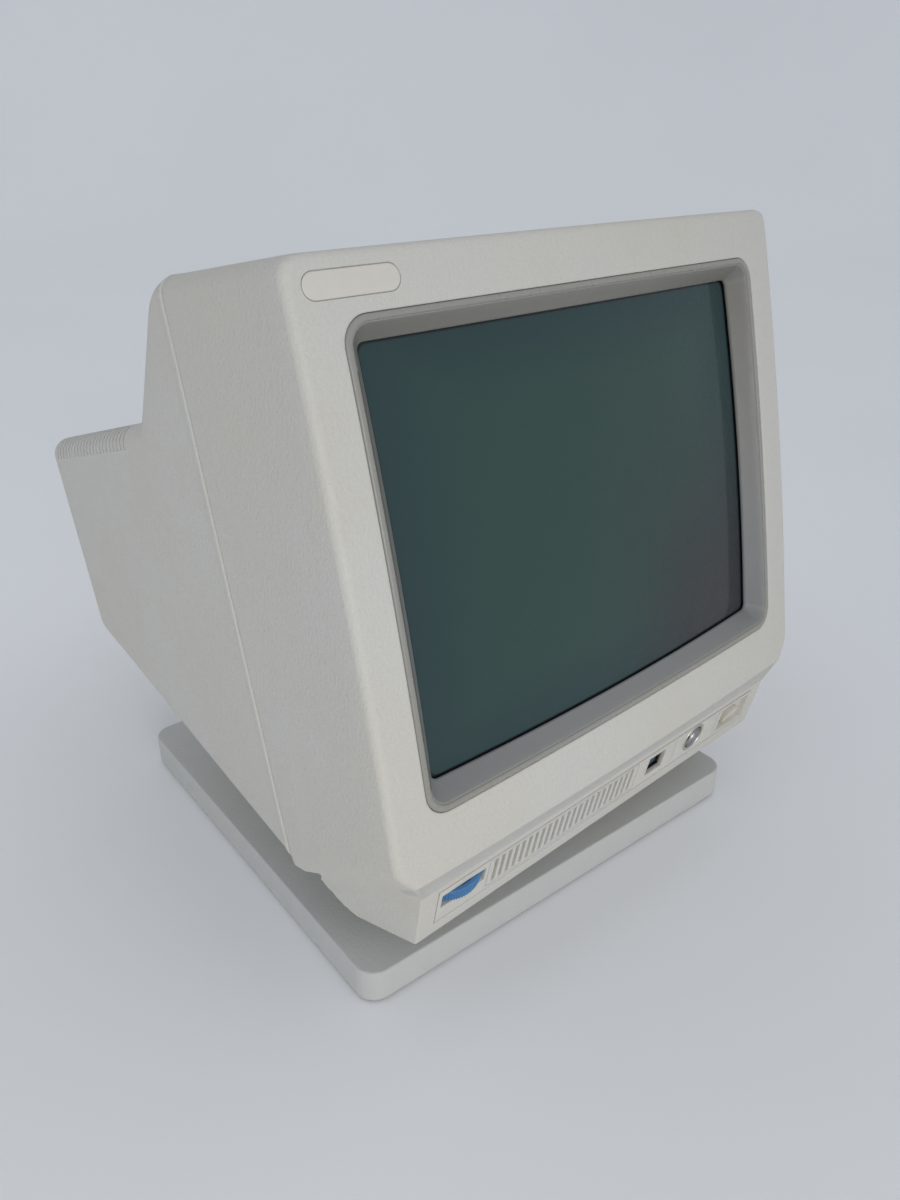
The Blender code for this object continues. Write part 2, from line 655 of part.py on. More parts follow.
def make_electronics():
    tray = [(24, -264), (24, -252), (25.2, -252), (25.2, -262.8), (120.8, -262.8), (120.8, -252),
            (122, -252), (122, -264)]
    frame_part = part(prism([(y * MM, z * MM) for y, z in tray], -118 * MM, 118 * MM),
                      "chassis_tray", "monitor_frame", "zinc")
    pegs = bmesh.new()
    for x in (-105, 105):
        for y in (36, 108):
            add_box(pegs, (x - 3) * MM, (x + 3) * MM, (y - 3) * MM, (y + 3) * MM,
                    -263.4 * MM, -258.4 * MM)
    boolean(frame_part, cutter(pegs, "tray_pegs", "monitor_frame"), "UNION")
    part(box(-114 * MM, 114 * MM, 28 * MM, 118 * MM, -258.1 * MM, -256.5 * MM),
         "main_board", "monitor_frame", "board")
    flyback = part(box(84 * MM, 112 * MM, 84 * MM, 116 * MM, -256.2 * MM, -228 * MM),
                   "flyback_transformer", "monitor_frame", "dark")
    core = upright(turned([(9 * MM, -232 * MM), (9 * MM, -212 * MM), (4 * MM, -210 * MM)], 16))
    bmesh.ops.translate(core, verts=core.verts, vec=(100 * MM, 106 * MM, 0))
    boolean(flyback, cutter(core, "flyback_core", "monitor_frame"), "UNION")
    capacitor = upright(turned([(12 * MM, -256.2 * MM), (12 * MM, -226 * MM), (11 * MM, -225 * MM)], 16))
    bmesh.ops.translate(capacitor, verts=capacitor.verts, vec=(-40 * MM, 96 * MM, 0))
    part(capacitor, "main_capacitor", "monitor_frame", "dark")
    part(box(-108 * MM, -66 * MM, 80 * MM, 114 * MM, -256.2 * MM, -229 * MM),
         "power_transformer", "monitor_frame", "ferrite")
    outline = heat_sink_outline()
    part(prism([(y * MM, z * MM) for y, z in outline], 0 * MM, 60 * MM),
         "heat_sink", "monitor_frame", "steel")
    bracket = part(box(151.4 * MM, 152.6 * MM, 118 * MM, 266 * MM, -186 * MM, -74 * MM),
                   "logic_bracket", "monitor_frame", "zinc")
    pegs = bmesh.new()
    for y in (126, 258):
        for z in (-178, -82):
            add_box(pegs, 148.9 * MM, 152 * MM, (y - 3) * MM, (y + 3) * MM, (z - 3) * MM, (z + 3) * MM)
    boolean(bracket, cutter(pegs, "bracket_pegs", "monitor_frame"), "UNION")
    part(box(147 * MM, 148.6 * MM, 120 * MM, 264 * MM, -184 * MM, -76 * MM),
         "logic_board", "monitor_frame", "board")


def heat_sink_outline():
    outline = [(90, -256.2), (116, -256.2)]
    for i in range(5):
        y = 116 - 5.5 * i
        outline += [(y, -224), (y - 2, -224)]
        if i < 4:
            outline += [(y - 2, -250), (y - 5.5, -250)]
    return outline + [(90, -250)]


# ---------------------------------------------------------------- control strip

def make_panel():
    face = strip_box(-PANEL_HW, PANEL_HW, PANEL_TOP, PANEL_TOP + PANEL_H, 0, PANEL_T)
    panel = part(face, "control_panel", "strip_frame", "panel")
    flange = strip_box(-PANEL_HW - 3 * MM, PANEL_HW + 3 * MM, PANEL_TOP - 2.4 * MM,
                       PANEL_TOP + PANEL_H + 2.4 * MM, 4.3 * MM, PANEL_T)
    boolean(panel, cutter(flange, "panel_flange", "strip_frame"), "UNION")
    slots = bmesh.new()
    for i in range(SLOT_COUNT):
        u = SLOT_FIRST + SLOT_PITCH * i
        add_box(slots, u - SLOT_W / 2, u + SLOT_W / 2, -1 * MM, 8 * MM,
                -PANEL_TOP - 18.2 * MM, -PANEL_TOP - 2.9 * MM)
    boolean(panel, cutter(slots, "panel_slots", "strip_frame"))
    windows = bmesh.new()
    for u0, u1, v0, v1 in ((-129.6, -100.8, 4, 12.9), (29.2, 44.6, 3.4, 17)):
        add_box(windows, u0 * MM, u1 * MM, -1 * MM, 8 * MM,
                -PANEL_TOP - v1 * MM, -PANEL_TOP - v0 * MM)
    add_box(windows, 101.6 * MM, 130.4 * MM, -1 * MM, 3 * MM,
            -PANEL_TOP - 20.4 * MM, -PANEL_TOP - 2.6 * MM)
    boolean(panel, cutter(windows, "panel_windows", "strip_frame"))
    well = strip_box(ROCKER_U - 6.6 * MM, ROCKER_U + 6.6 * MM, PANEL_TOP + 2.8 * MM,
                     PANEL_TOP + 20.2 * MM, 2 * MM, 8 * MM)
    boolean(panel, cutter(well, "panel_rocker_hole", "strip_frame"))
    pockets = bmesh.new()
    for u0, u1 in ((-140, -96), (26, 50)):
        add_box(pockets, u0 * MM, u1 * MM, 2.5 * MM, 8 * MM, -PANEL_TOP - 21 * MM, -PANEL_TOP - 1 * MM)
    boolean(panel, cutter(pockets, "panel_pockets", "strip_frame"))
    dish = turned([(9.6 * MM, -1 * MM), (9.6 * MM, 8 * MM)], 24, LOCK_U, -LOCK_V)
    boolean(panel, cutter(dish, "panel_lock_hole", "strip_frame"))
    make_wheels()
    make_lock()
    make_rocker()
    speaker = [(34, 7), (34, 8.4), (28, 8.6), (15, 17), (15, 25), (13.5, 26)]
    cone = turned([(r * MM, y * MM) for r, y in speaker], 20)
    bmesh.ops.scale(cone, verts=cone.verts, vec=(1.2, 1, 0.38))
    bmesh.ops.translate(cone, verts=cone.verts, vec=(-40 * MM, 0, -15 * MM))
    part(cone, "speaker", "strip_frame", "dark")


def wheel_profile(radius, half, hub):
    return [(hub, -half), (radius - 0.6 * MM, -half), (radius, -half + 0.6 * MM),
            (radius, half - 0.6 * MM), (radius - 0.6 * MM, half), (hub, half)]


def make_wheels():
    centre = (WHEEL_U, 17 * MM, -PANEL_TOP - 8.3 * MM)
    wheel = upright(turned(wheel_profile(20 * MM, 2.5 * MM, 3.4 * MM), 48, closed=True))
    part(wheel, "brightness_wheel", "strip_frame", "blue", centre)
    stem = upright(turned([(3 * MM, -7 * MM), (3 * MM, 5 * MM)], 12))
    post = part(stem, "brightness_pot", "strip_frame", "zinc", centre)
    can = box(-8 * MM, 8 * MM, -8 * MM, 8 * MM, -12 * MM, -3.2 * MM)
    boolean(post, cutter(can, "brightness_pot_can", "strip_frame", centre), "UNION")
    centre = (36.9 * MM, 16.5 * MM, -PANEL_TOP - 10.2 * MM)
    wheel = across(turned(wheel_profile(14 * MM, 4.5 * MM, 3.4 * MM), 40, closed=True))
    part(wheel, "contrast_wheel", "strip_frame", "dark", centre)
    stem = across(turned([(3 * MM, -6 * MM), (3 * MM, 9 * MM)], 12))
    post = part(stem, "contrast_pot", "strip_frame", "zinc", centre)
    can = box(5.4 * MM, 13 * MM, -7 * MM, 7 * MM, -7 * MM, 7 * MM)
    boolean(post, cutter(can, "contrast_pot_can", "strip_frame", centre), "UNION")


def make_lock():
    dish = [(9.3, 0), (8.8, -0.3), (8.1, 0.2), (7.2, 3), (6.9, 3), (6.9, 22), (8.9, 22), (8.9, 6),
            (9.3, 6)]
    part(turned([(r * MM, y * MM) for r, y in dish], 24, closed=True), "lock_barrel", "strip_frame",
         "zinc", (LOCK_U, 0, -LOCK_V))
    plug = part(turned([(5.9 * MM, 2.6 * MM), (6.5 * MM, 3.1 * MM), (6.5 * MM, 24 * MM)], 20),
                "lock_plug", "strip_frame", "steel", (LOCK_U, 0, -LOCK_V))
    key = cutter(box(-0.9 * MM, 0.9 * MM, 1 * MM, 14 * MM, -4.6 * MM, 4.6 * MM), "lock_keyway",
                 "strip_frame", (LOCK_U, 0, -LOCK_V))
    boolean(plug, key)


def make_rocker():
    mid = -PANEL_TOP - 11.5 * MM
    pivot = (ROCKER_U, 6.5 * MM, mid)
    half = 6 * MM
    outline = [(-9, 7.2), (-5.2, 0), (-5.6, -7.2), (2.5, -7.2), (4.5, 0), (2.5, 7.2)]
    rocker = prism([(y * MM, z * MM) for y, z in outline], -half, half)
    body = part(rocker, "power_rocker", "strip_frame", "white", pivot)
    bevel(body, 0.6 * MM, 2)
    case = part(box(-10 * MM, 12 * MM, -0.1 * MM, 18 * MM, -10.4 * MM, 10.4 * MM),
                "power_switch", "strip_frame", "dark", pivot)
    well = box(-6.4 * MM, 6.4 * MM, -3 * MM, 10 * MM, -9 * MM, 9 * MM)
    boolean(case, cutter(well, "power_switch_well", "strip_frame", pivot))


# ---------------------------------------------------------------- stand

def rounded_plan(width, depth, radius, z, per_corner=6):
    outline = rounded_rect(width / 2, depth / 2, -depth / 2, radius, per_corner)
    return [Vector((x + BASE_X, y + BASE_Y, z)) for x, y in outline]


def make_base():
    rings = []
    profile = ((-1.4, BASE_BOTTOM), (-0.4, BASE_BOTTOM + 1.1 * MM), (0, BASE_BOTTOM + 3 * MM),
               (0, BASE_TOP - 1.2 * MM), (-0.35, BASE_TOP - 0.35 * MM), (-1.2, BASE_TOP))
    for grow, z in profile:
        rings.append(rounded_plan(BASE_W + 2 * grow * MM, BASE_D + 2 * grow * MM,
                                  BASE_CORNER + grow * MM, z))
    base = part(loft(rings), "base_plate", None, "case")
    pocket = loft([rounded_plan(BASE_W - 8 * MM, BASE_D - 8 * MM, BASE_CORNER - 4 * MM, z * MM)
                   for z in (0, 18.3)])
    boolean(base, cutter(pocket, "base_pocket", None))
    hub = upright(turned([(27 * MM, 9 * MM), (27 * MM, 19 * MM)], 28))
    boolean(base, cutter(hub, "base_hub", None), "UNION")
    bore = upright(turned([(14.4 * MM, 0), (14.4 * MM, 30 * MM)], 28))
    boolean(base, cutter(bore, "base_bore", None))
    pan = loft([rounded_plan(BASE_W - 8.8 * MM, BASE_D - 8.8 * MM, BASE_CORNER - 4.4 * MM, z * MM)
                for z in (1.5, 2.7)])
    part(pan, "base_pan", None, "zinc")
    for name, x, y in (("foot_front_left", -118, -115), ("foot_front_right", 105.5, -115),
                       ("foot_rear_left", -118, 88.5), ("foot_rear_right", 105.5, 88.5)):
        foot = upright(turned([(9 * MM, 0), (10 * MM, 0.5 * MM), (10 * MM, 1.2 * MM)], 20))
        part(foot, name, None, "rubber", (x * MM, y * MM, 0))
    ring = upright(turned([(38 * MM, 21.8 * MM), (55 * MM, 21.8 * MM), (55 * MM, 23.6 * MM),
                           (38 * MM, 23.6 * MM)], 40, closed=True))
    part(ring, "bearing_ring", None, "nylon")


def arc_points(radius, start, end, steps, centre):
    points = []
    for i in range(steps + 1):
        a = radians(start + (end - start) * i / steps)
        points.append((centre[0] + radius * sin(a), centre[1] - radius * cos(a)))
    return points


def make_turntable():
    disc = upright(turned([(13.8 * MM, 9.8 * MM), (13.8 * MM, 24 * MM), (59 * MM, 24 * MM),
                           (60.5 * MM, 25.5 * MM), (59 * MM, 29.5 * MM), (13 * MM, 30 * MM)], 40))
    table = part(disc, "turntable", "swivel_frame", "case")
    axis = (TILT_AXIS.y, TILT_AXIS.z)
    seat = arc_points(RUNNER_R + 2 * MM, -17, 17, 10, axis)
    outline = [(seat[0][0], 28 * MM)] + seat + [(seat[-1][0], 28 * MM)]
    blocks = bmesh.new()
    add_prism(blocks, outline, -RUNNER_W / 2 - 1 * MM, RUNNER_W / 2 + 1 * MM)
    boolean(table, cutter(blocks, "turntable_seat", "swivel_frame"), "UNION")
    cheeks = bmesh.new()
    cheek = [(-34, 28), (2, 28), (0, 43), (-8, 50.8), (-50, 50.8), (-56, 43)]
    for x0, x1 in ((-51.5, -45.6), (45.6, 51.5)):
        add_prism(cheeks, [(y * MM, z * MM) for y, z in cheek], x0 * MM, x1 * MM)
    boolean(table, cutter(cheeks, "turntable_cheeks", "swivel_frame"), "UNION")
    bore = upright(turned([(3.3 * MM, 0), (3.3 * MM, 27 * MM)], 12))
    boolean(table, cutter(bore, "turntable_bore", "swivel_frame"))
    for name, x0, x1 in (("friction_pad_left", -40, -8), ("friction_pad_right", 8, 40)):
        lower = arc_points(RUNNER_R + 1.7 * MM, -15, 15, 8, axis)
        upper = arc_points(RUNNER_R + 0.3 * MM, 15, -15, 8, axis)
        part(prism(lower + upper, x0 * MM, x1 * MM), name, "swivel_frame", "rubber")
    washer = upright(turned([(3.5 * MM, 6.6 * MM), (24 * MM, 6.6 * MM), (24 * MM, 8.6 * MM),
                             (14 * MM, 8.7 * MM), (14 * MM, 9.5 * MM), (3.5 * MM, 9.5 * MM)], 24,
                            closed=True))
    part(washer, "swivel_washer", "swivel_frame", "zinc")
    bolt = upright(turned([(6 * MM, 3.2 * MM), (6 * MM, 6.3 * MM), (3 * MM, 6.3 * MM),
                           (3 * MM, 25 * MM), (2 * MM, 26 * MM)], 12))
    part(bolt, "swivel_bolt", "swivel_frame", "steel")


def make_runner():
    axis = (PIVOT.y, PIVOT.z)
    arc = arc_points(RUNNER_R, 54, -16.2, 16, axis)
    top_back = (arc[0][0], underside_z(arc[0][0]) - GAP * 1.4)
    top_front = (arc[-1][0], underside_z(arc[-1][0]) - GAP * 1.4)
    outline = [top_front, top_back] + arc
    runner = part(prism(outline, -RUNNER_W / 2, RUNNER_W / 2), "tilt_runner", "monitor_frame", "case")
    pockets = bmesh.new()
    for x0, x1 in ((-39, -3), (3, 39)):
        inner = arc_points(RUNNER_R - 4 * MM, 40, -6, 8, axis)
        outline = [(inner[-1][0], -0.2), (inner[0][0], -0.2)] + inner
        add_prism(pockets, outline, x0 * MM, x1 * MM)
    boolean(runner, cutter(pockets, "runner_pockets", "monitor_frame"))


make_bezel()
part(make_badge(), "badge_plate", "monitor_frame", "white")
make_surround()
make_tube()
make_rear_cover()
make_ports()
make_electronics()
make_panel()
make_base()
make_turntable()
make_runner()
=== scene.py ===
"""Looks for the CRT display terminal: the visible mouldings, glass and controls around the CAD frame."""
from math import sin, cos, pi, radians, sqrt
import bpy
import bmesh
from mathutils import Vector, Matrix, noise


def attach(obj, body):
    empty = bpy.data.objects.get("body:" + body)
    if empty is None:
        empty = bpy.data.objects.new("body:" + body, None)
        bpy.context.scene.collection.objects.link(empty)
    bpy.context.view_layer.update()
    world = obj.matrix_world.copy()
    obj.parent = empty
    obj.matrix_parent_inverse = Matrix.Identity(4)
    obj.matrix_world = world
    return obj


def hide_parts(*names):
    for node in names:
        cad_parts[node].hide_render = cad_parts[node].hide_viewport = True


MM = 0.001
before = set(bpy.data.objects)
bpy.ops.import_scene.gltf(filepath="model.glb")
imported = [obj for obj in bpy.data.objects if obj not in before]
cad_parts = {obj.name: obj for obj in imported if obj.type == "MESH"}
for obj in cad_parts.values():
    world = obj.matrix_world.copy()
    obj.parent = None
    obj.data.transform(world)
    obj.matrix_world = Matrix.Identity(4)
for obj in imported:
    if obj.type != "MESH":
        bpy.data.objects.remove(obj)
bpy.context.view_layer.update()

# ------------------------------------------------------------------ frames of reference

# degrees: turned on the base plate, leaned back, and the control strip's slope in the chin
SWIVEL_ANGLE = 3.7
TILT_ANGLE = 13.8
STRIP_ANGLE = 24.7
SWIVEL = Matrix.Rotation(radians(SWIVEL_ANGLE), 4, "Z")
TILT = Matrix.Rotation(radians(-TILT_ANGLE), 4, "X")
TO_TILT = SWIVEL @ Matrix.Translation((0, -0.030, 0.130)) @ TILT
# the monitor's origin is in the middle of its top front edge
TO_MONITOR = TO_TILT @ Matrix.Translation((0, -0.1252, 0.2057))
STRIP_SLOPE = Matrix.Rotation(radians(STRIP_ANGLE), 4, "X")
TO_STRIP = TO_MONITOR @ Matrix.Translation((0, 0.008, -0.281)) @ STRIP_SLOPE
FLAT = Matrix.Identity(4)

# ------------------------------------------------------------------ driving sizes (millimetres)

HALF_W = 160
WALL = 3.0
# half width, top, bottom and corner radius of the bezel's window and the opening in front of the glass
WINDOW = (137, -24.1, -238.4, 12)
OPENING = (127, -34.4, -227.0, 3.5)
TUBE_Z = -130.7
TUBE_HALF = (145, 114)
SCREEN_HALF = (121.3, 91.0)
BADGE_X = -129.9
PANEL_HALF_W = 131.85
PANEL_TOP = -3.6
GRILLE_SLOTS = 23
GRILLE_PITCH = 4.86
LOCK_AT = (74, -13.6)
CASE_SCREW_X = 128
CASE_SCREW_Z = (-10, -262)
VENTS = 22
VENT_PITCH = 5
INTAKES = 14
INTAKE_PITCH = 10
REAR_ROUND = 14
BASE_CENTRE = (-6.25, -13.25)
BASE_HALF_W = 142.75
BASE_HALF_D = 133.75
BASE_CORNER = 12.0

# ------------------------------------------------------------------ colours

SCREEN_GREEN = (0.0235, 0.058, 0.050)
SCREEN_BLUE = (0.0185, 0.044, 0.050)
# painted reflection and shade: darker, warmer colour for the lower right of the tube face
SCREEN_PAINTED_REFLECTION = (0.026, 0.028, 0.032)
GLASS_EDGE = (0.004, 0.005, 0.007)
PEARL = (0.60, 0.587, 0.55)
FLOOR_COLOUR = (0.96, 0.965, 0.98)


# ------------------------------------------------------------------ node materials

class Nodes:
    """Small helper for wiring a procedural material."""

    def __init__(self, name):
        self.mat = bpy.data.materials.new(name)
        self.mat.use_nodes = True
        self.tree = self.mat.node_tree
        self.shader = self.tree.nodes["Principled BSDF"]
        self.last_bump = None
        self.coords = self.tree.nodes.new("ShaderNodeTexCoord")

    def new(self, kind, **values):
        node = self.tree.nodes.new(kind)
        for key, value in values.items():
            setattr(node, key, value)
        return node

    def link(self, a, b):
        self.tree.links.new(a, b)

    def value(self, socket, value):
        if hasattr(value, "links"):
            self.link(value, socket)
        else:
            socket.default_value = value

    def math(self, op, a, b=0.0):
        node = self.new("ShaderNodeMath", operation=op)
        self.value(node.inputs[0], a)
        self.value(node.inputs[1], b)
        return node.outputs[0]

    def length(self, a, b):
        return self.math("SQRT", self.math("ADD", self.math("MULTIPLY", a, a), self.math("MULTIPLY", b, b)))

    def noise(self, scale, detail=3.0, rough=0.5, distort=0.0, stretch=(1, 1, 1)):
        mapping = self.new("ShaderNodeMapping")
        mapping.inputs["Scale"].default_value = stretch
        self.link(self.coords.outputs["Object"], mapping.inputs["Vector"])
        node = self.new("ShaderNodeTexNoise")
        self.link(mapping.outputs[0], node.inputs["Vector"])
        node.inputs["Scale"].default_value = scale
        node.inputs["Detail"].default_value = detail
        node.inputs["Roughness"].default_value = rough
        node.inputs["Distortion"].default_value = distort
        return node.outputs["Fac"]

    def cells(self, scale, feature="SMOOTH_F1"):
        node = self.new("ShaderNodeTexVoronoi", feature=feature)
        self.link(self.coords.outputs["Object"], node.inputs["Vector"])
        node.inputs["Scale"].default_value = scale
        return node.outputs["Distance"]

    def ramp(self, fac, low, high, a=0.0, b=1.0):
        node = self.new("ShaderNodeMapRange", interpolation_type="SMOOTHSTEP")
        self.value(node.inputs["Value"], fac)
        node.inputs["From Min"].default_value = low
        node.inputs["From Max"].default_value = high
        node.inputs["To Min"].default_value = a
        node.inputs["To Max"].default_value = b
        return node.outputs["Result"]

    def mix(self, fac, a, b):
        node = self.new("ShaderNodeMix", data_type="RGBA")
        self.value(node.inputs[0], fac)
        for socket, v in ((node.inputs[6], a), (node.inputs[7], b)):
            if hasattr(v, "links"):
                self.link(v, socket)
            else:
                socket.default_value = (*v, 1)
        return node.outputs[2]

    def monitor_axes(self):
        """Coordinates across, into and up the monitor, in metres."""
        mapping = self.new("ShaderNodeMapping", vector_type="TEXTURE")
        mapping.inputs["Location"].default_value = TO_MONITOR.to_translation()
        mapping.inputs["Rotation"].default_value = TO_MONITOR.to_euler()
        self.link(self.coords.outputs["Object"], mapping.inputs["Vector"])
        split = self.new("ShaderNodeSeparateXYZ")
        self.link(mapping.outputs[0], split.inputs[0])
        return split.outputs

    def colour(self, value):
        if hasattr(value, "links"):
            self.link(value, self.shader.inputs["Base Color"])
        else:
            self.shader.inputs["Base Color"].default_value = (*value, 1)

    def set(self, **values):
        names = {"rough": "Roughness", "metal": "Metallic", "spec": "Specular IOR Level",
                 "coat": "Coat Weight", "coat_rough": "Coat Roughness"}
        for key, v in values.items():
            self.value(self.shader.inputs[names[key]], v)

    def bump(self, height, strength, distance):
        node = self.new("ShaderNodeBump")
        node.inputs["Strength"].default_value = strength
        node.inputs["Distance"].default_value = distance
        self.link(height, node.inputs["Height"])
        if self.last_bump:
            self.link(self.last_bump, node.inputs["Normal"])
        self.last_bump = node.outputs[0]
        self.link(self.last_bump, self.shader.inputs["Normal"])


def shade(colour, factor):
    return tuple(c * factor for c in colour)


def moulded(name, colour, rough=0.55, grain=0.5, dirt=0.5, tint=(1.0, 0.97, 0.90)):
    """Textured injection-moulded plastic with age toning, faint dirt and a pebble grain."""
    n = Nodes(name)
    broad = n.noise(9, 3, 0.55)
    blotch = n.noise(60, 4, 0.6)
    fine = n.noise(900, 2, 0.5)
    aged = tuple(c * t for c, t in zip(colour, tint))
    base = n.mix(n.ramp(broad, 0.35, 0.7, 0.0, 0.6), colour, aged)
    base = n.mix(n.ramp(blotch, 0.3, 0.8, 0.0, 0.10 * dirt), base, shade(colour, 0.82))
    base = n.mix(n.ramp(fine, 0.35, 0.75, 0.0, 0.10), base, shade(colour, 1.10))
    specks = n.cells(75, "F1")
    gate = n.ramp(n.noise(23, 2, 0.5), 0.56, 0.66)
    spot = n.math("MULTIPLY", n.ramp(specks, 0.075, 0.03), gate)
    base = n.mix(n.math("MULTIPLY", spot, 0.45 * dirt), base, shade(colour, 0.35))
    smear = n.noise(30, 5, 0.65, 1.2, (1, 1, 0.35))
    base = n.mix(n.ramp(smear, 0.60, 0.78, 0.0, 0.16 * dirt), base, shade(colour, 0.70))
    n.colour(base)
    n.set(rough=n.ramp(n.noise(140, 3, 0.6), 0.3, 0.7, rough - 0.06, rough + 0.08), spec=0.4)
    n.bump(n.noise(620, 2, 0.55, 0.4, (1, 1, 0.7)), 1.0 * grain, 0.00055)
    n.bump(n.cells(1150), 0.4 * grain, 0.0003)
    n.bump(n.noise(14, 2, 0.5), 0.05, 0.002)
    return n.mat


def frame_plastic(name, low, high):
    """Smooth dark moulding with painted shade, darker and browner towards the top of the monitor where the
    inner slope faces down.
    """
    n = Nodes(name)
    # painted shade: the colour runs from low at the bottom to the darker, browner high at the top
    base = n.mix(n.ramp(n.monitor_axes()[2], -215 * MM, -40 * MM), low, high)
    base = n.mix(n.ramp(n.noise(60, 4, 0.6), 0.3, 0.8, 0.0, 0.12), base, shade(low, 0.8))
    n.colour(n.mix(n.ramp(n.noise(900, 2, 0.5), 0.5, 0.8, 0.0, 0.12), base, shade(low, 1.2)))
    n.set(rough=n.ramp(n.noise(140, 3, 0.6), 0.3, 0.7, 0.36, 0.46))
    n.bump(n.noise(620, 2, 0.5), 0.15, 0.0004)
    return n.mat


def gloss_plastic(name, colour, rough=0.35):
    n = Nodes(name)
    base = n.mix(n.ramp(n.noise(70, 3, 0.6), 0.3, 0.75, 0.0, 0.35), colour, shade(colour, 0.78))
    base = n.mix(n.ramp(n.noise(900, 2, 0.5), 0.5, 0.8, 0.0, 0.25), base, shade(colour, 1.25))
    n.colour(base)
    n.set(rough=n.ramp(n.noise(300, 3, 0.6), 0.3, 0.7, rough - 0.05, rough + 0.12))
    n.bump(n.noise(1500, 2, 0.5), 0.12, 0.0001)
    return n.mat


def metal(name, colour, rough=0.3, brushed=(1, 1, 1), tarnish=0.3):
    n = Nodes(name)
    streak = n.noise(500, 4, 0.6, 0.0, brushed)
    base = n.mix(n.ramp(streak, 0.3, 0.7, 0.0, 0.5), colour, shade(colour, 0.8))
    base = n.mix(n.ramp(n.noise(40, 4, 0.6), 0.5, 0.8, 0.0, tarnish), base, shade(colour, 0.45))
    n.colour(base)
    n.set(metal=1.0, rough=n.ramp(streak, 0.3, 0.7, rough - 0.06, rough + 0.12))
    n.bump(streak, 0.15, 0.0001)
    return n.mat


def rubber(name, colour=(0.035, 0.035, 0.038)):
    n = Nodes(name)
    base = n.mix(n.ramp(n.noise(120, 4, 0.6), 0.35, 0.75, 0.0, 0.5), colour, shade(colour, 2.2))
    n.colour(base)
    n.set(rough=n.ramp(n.noise(400, 3, 0.6), 0.3, 0.7, 0.7, 0.9))
    n.bump(n.noise(1800, 3, 0.6), 0.3, 0.0002)
    return n.mat


def board(name):
    """Printed circuit board: green mask with a faint copper track pattern."""
    n = Nodes(name)
    brick = n.new("ShaderNodeTexBrick")
    n.link(n.coords.outputs["Object"], brick.inputs["Vector"])
    brick.inputs["Scale"].default_value = 60
    brick.inputs["Mortar Size"].default_value = 0.03
    brick.inputs["Color1"].default_value = (0.02, 0.13, 0.06, 1)
    brick.inputs["Color2"].default_value = (0.03, 0.17, 0.07, 1)
    brick.inputs["Mortar"].default_value = (0.09, 0.26, 0.10, 1)
    dark = n.ramp(n.noise(200, 3, 0.6), 0.4, 0.8, 0.0, 0.4)
    n.colour(n.mix(dark, brick.outputs["Color"], (0.02, 0.09, 0.04)))
    n.set(rough=0.4)
    n.bump(brick.outputs["Fac"], 0.2, 0.0001)
    return n.mat


def windings(name):
    n = Nodes(name)
    wave = n.new("ShaderNodeTexWave", wave_type="RINGS", rings_direction="Y")
    n.link(n.coords.outputs["Object"], wave.inputs["Vector"])
    wave.inputs["Scale"].default_value = 320
    wave.inputs["Distortion"].default_value = 2.0
    n.colour(n.mix(wave.outputs["Fac"], (0.30, 0.10, 0.04), (0.62, 0.27, 0.12)))
    n.set(rough=0.35, metal=0.6)
    n.bump(wave.outputs["Fac"], 0.4, 0.0003)
    return n.mat


def screen_glass(name):
    """Tinted tube face: green-grey phosphor with a dark edge, under polished glass."""
    n = Nodes(name)
    x, y, z = n.monitor_axes()
    ax = n.math("ABSOLUTE", x)
    az = n.math("ABSOLUTE", n.math("SUBTRACT", z, TUBE_Z * MM))
    dx = n.math("MAXIMUM", n.math("SUBTRACT", ax, SCREEN_HALF[0] * MM), 0.0)
    dz = n.math("MAXIMUM", n.math("SUBTRACT", az, SCREEN_HALF[1] * MM), 0.0)
    corner = n.length(dx, dz)
    edge = n.ramp(corner, 3.9 * MM, 4.8 * MM)
    rim = n.math("MAXIMUM", n.ramp(ax, 70 * MM, 126 * MM), n.ramp(az, 55 * MM, 96 * MM))
    mottle = n.ramp(n.noise(6, 2, 0.5), 0.3, 0.7, 0.0, 0.5)
    middle = n.mix(mottle, SCREEN_GREEN, shade(SCREEN_GREEN, 1.12))
    face = n.mix(n.math("MULTIPLY", rim, 0.75), middle, SCREEN_BLUE)
    # painted reflection and shade: the lower right of the tube face turns darker and warmer
    to_right = n.ramp(x, -20 * MM, 95 * MM)
    painted_reflection = n.math("MULTIPLY", to_right, n.ramp(z, -70 * MM, -215 * MM))
    face = n.mix(painted_reflection, face, SCREEN_PAINTED_REFLECTION)
    body = n.mix(edge, face, GLASS_EDGE)
    behind = n.ramp(y, 13 * MM, 16 * MM)
    patches = n.ramp(n.noise(40, 3, 0.6), 0.3, 0.7, 0.0, 0.6)
    coated = n.mix(patches, (0.03, 0.03, 0.034), (0.07, 0.07, 0.075))
    n.colour(n.mix(behind, body, coated))
    n.set(rough=n.ramp(n.noise(500, 2, 0.5), 0.3, 0.7, 0.42, 0.52), spec=0.2, coat=0.45, coat_rough=0.06)
    n.shader.inputs["Coat IOR"].default_value = 1.5
    n.bump(n.noise(8, 1, 0.4), 0.02, 0.001)
    return n.mat


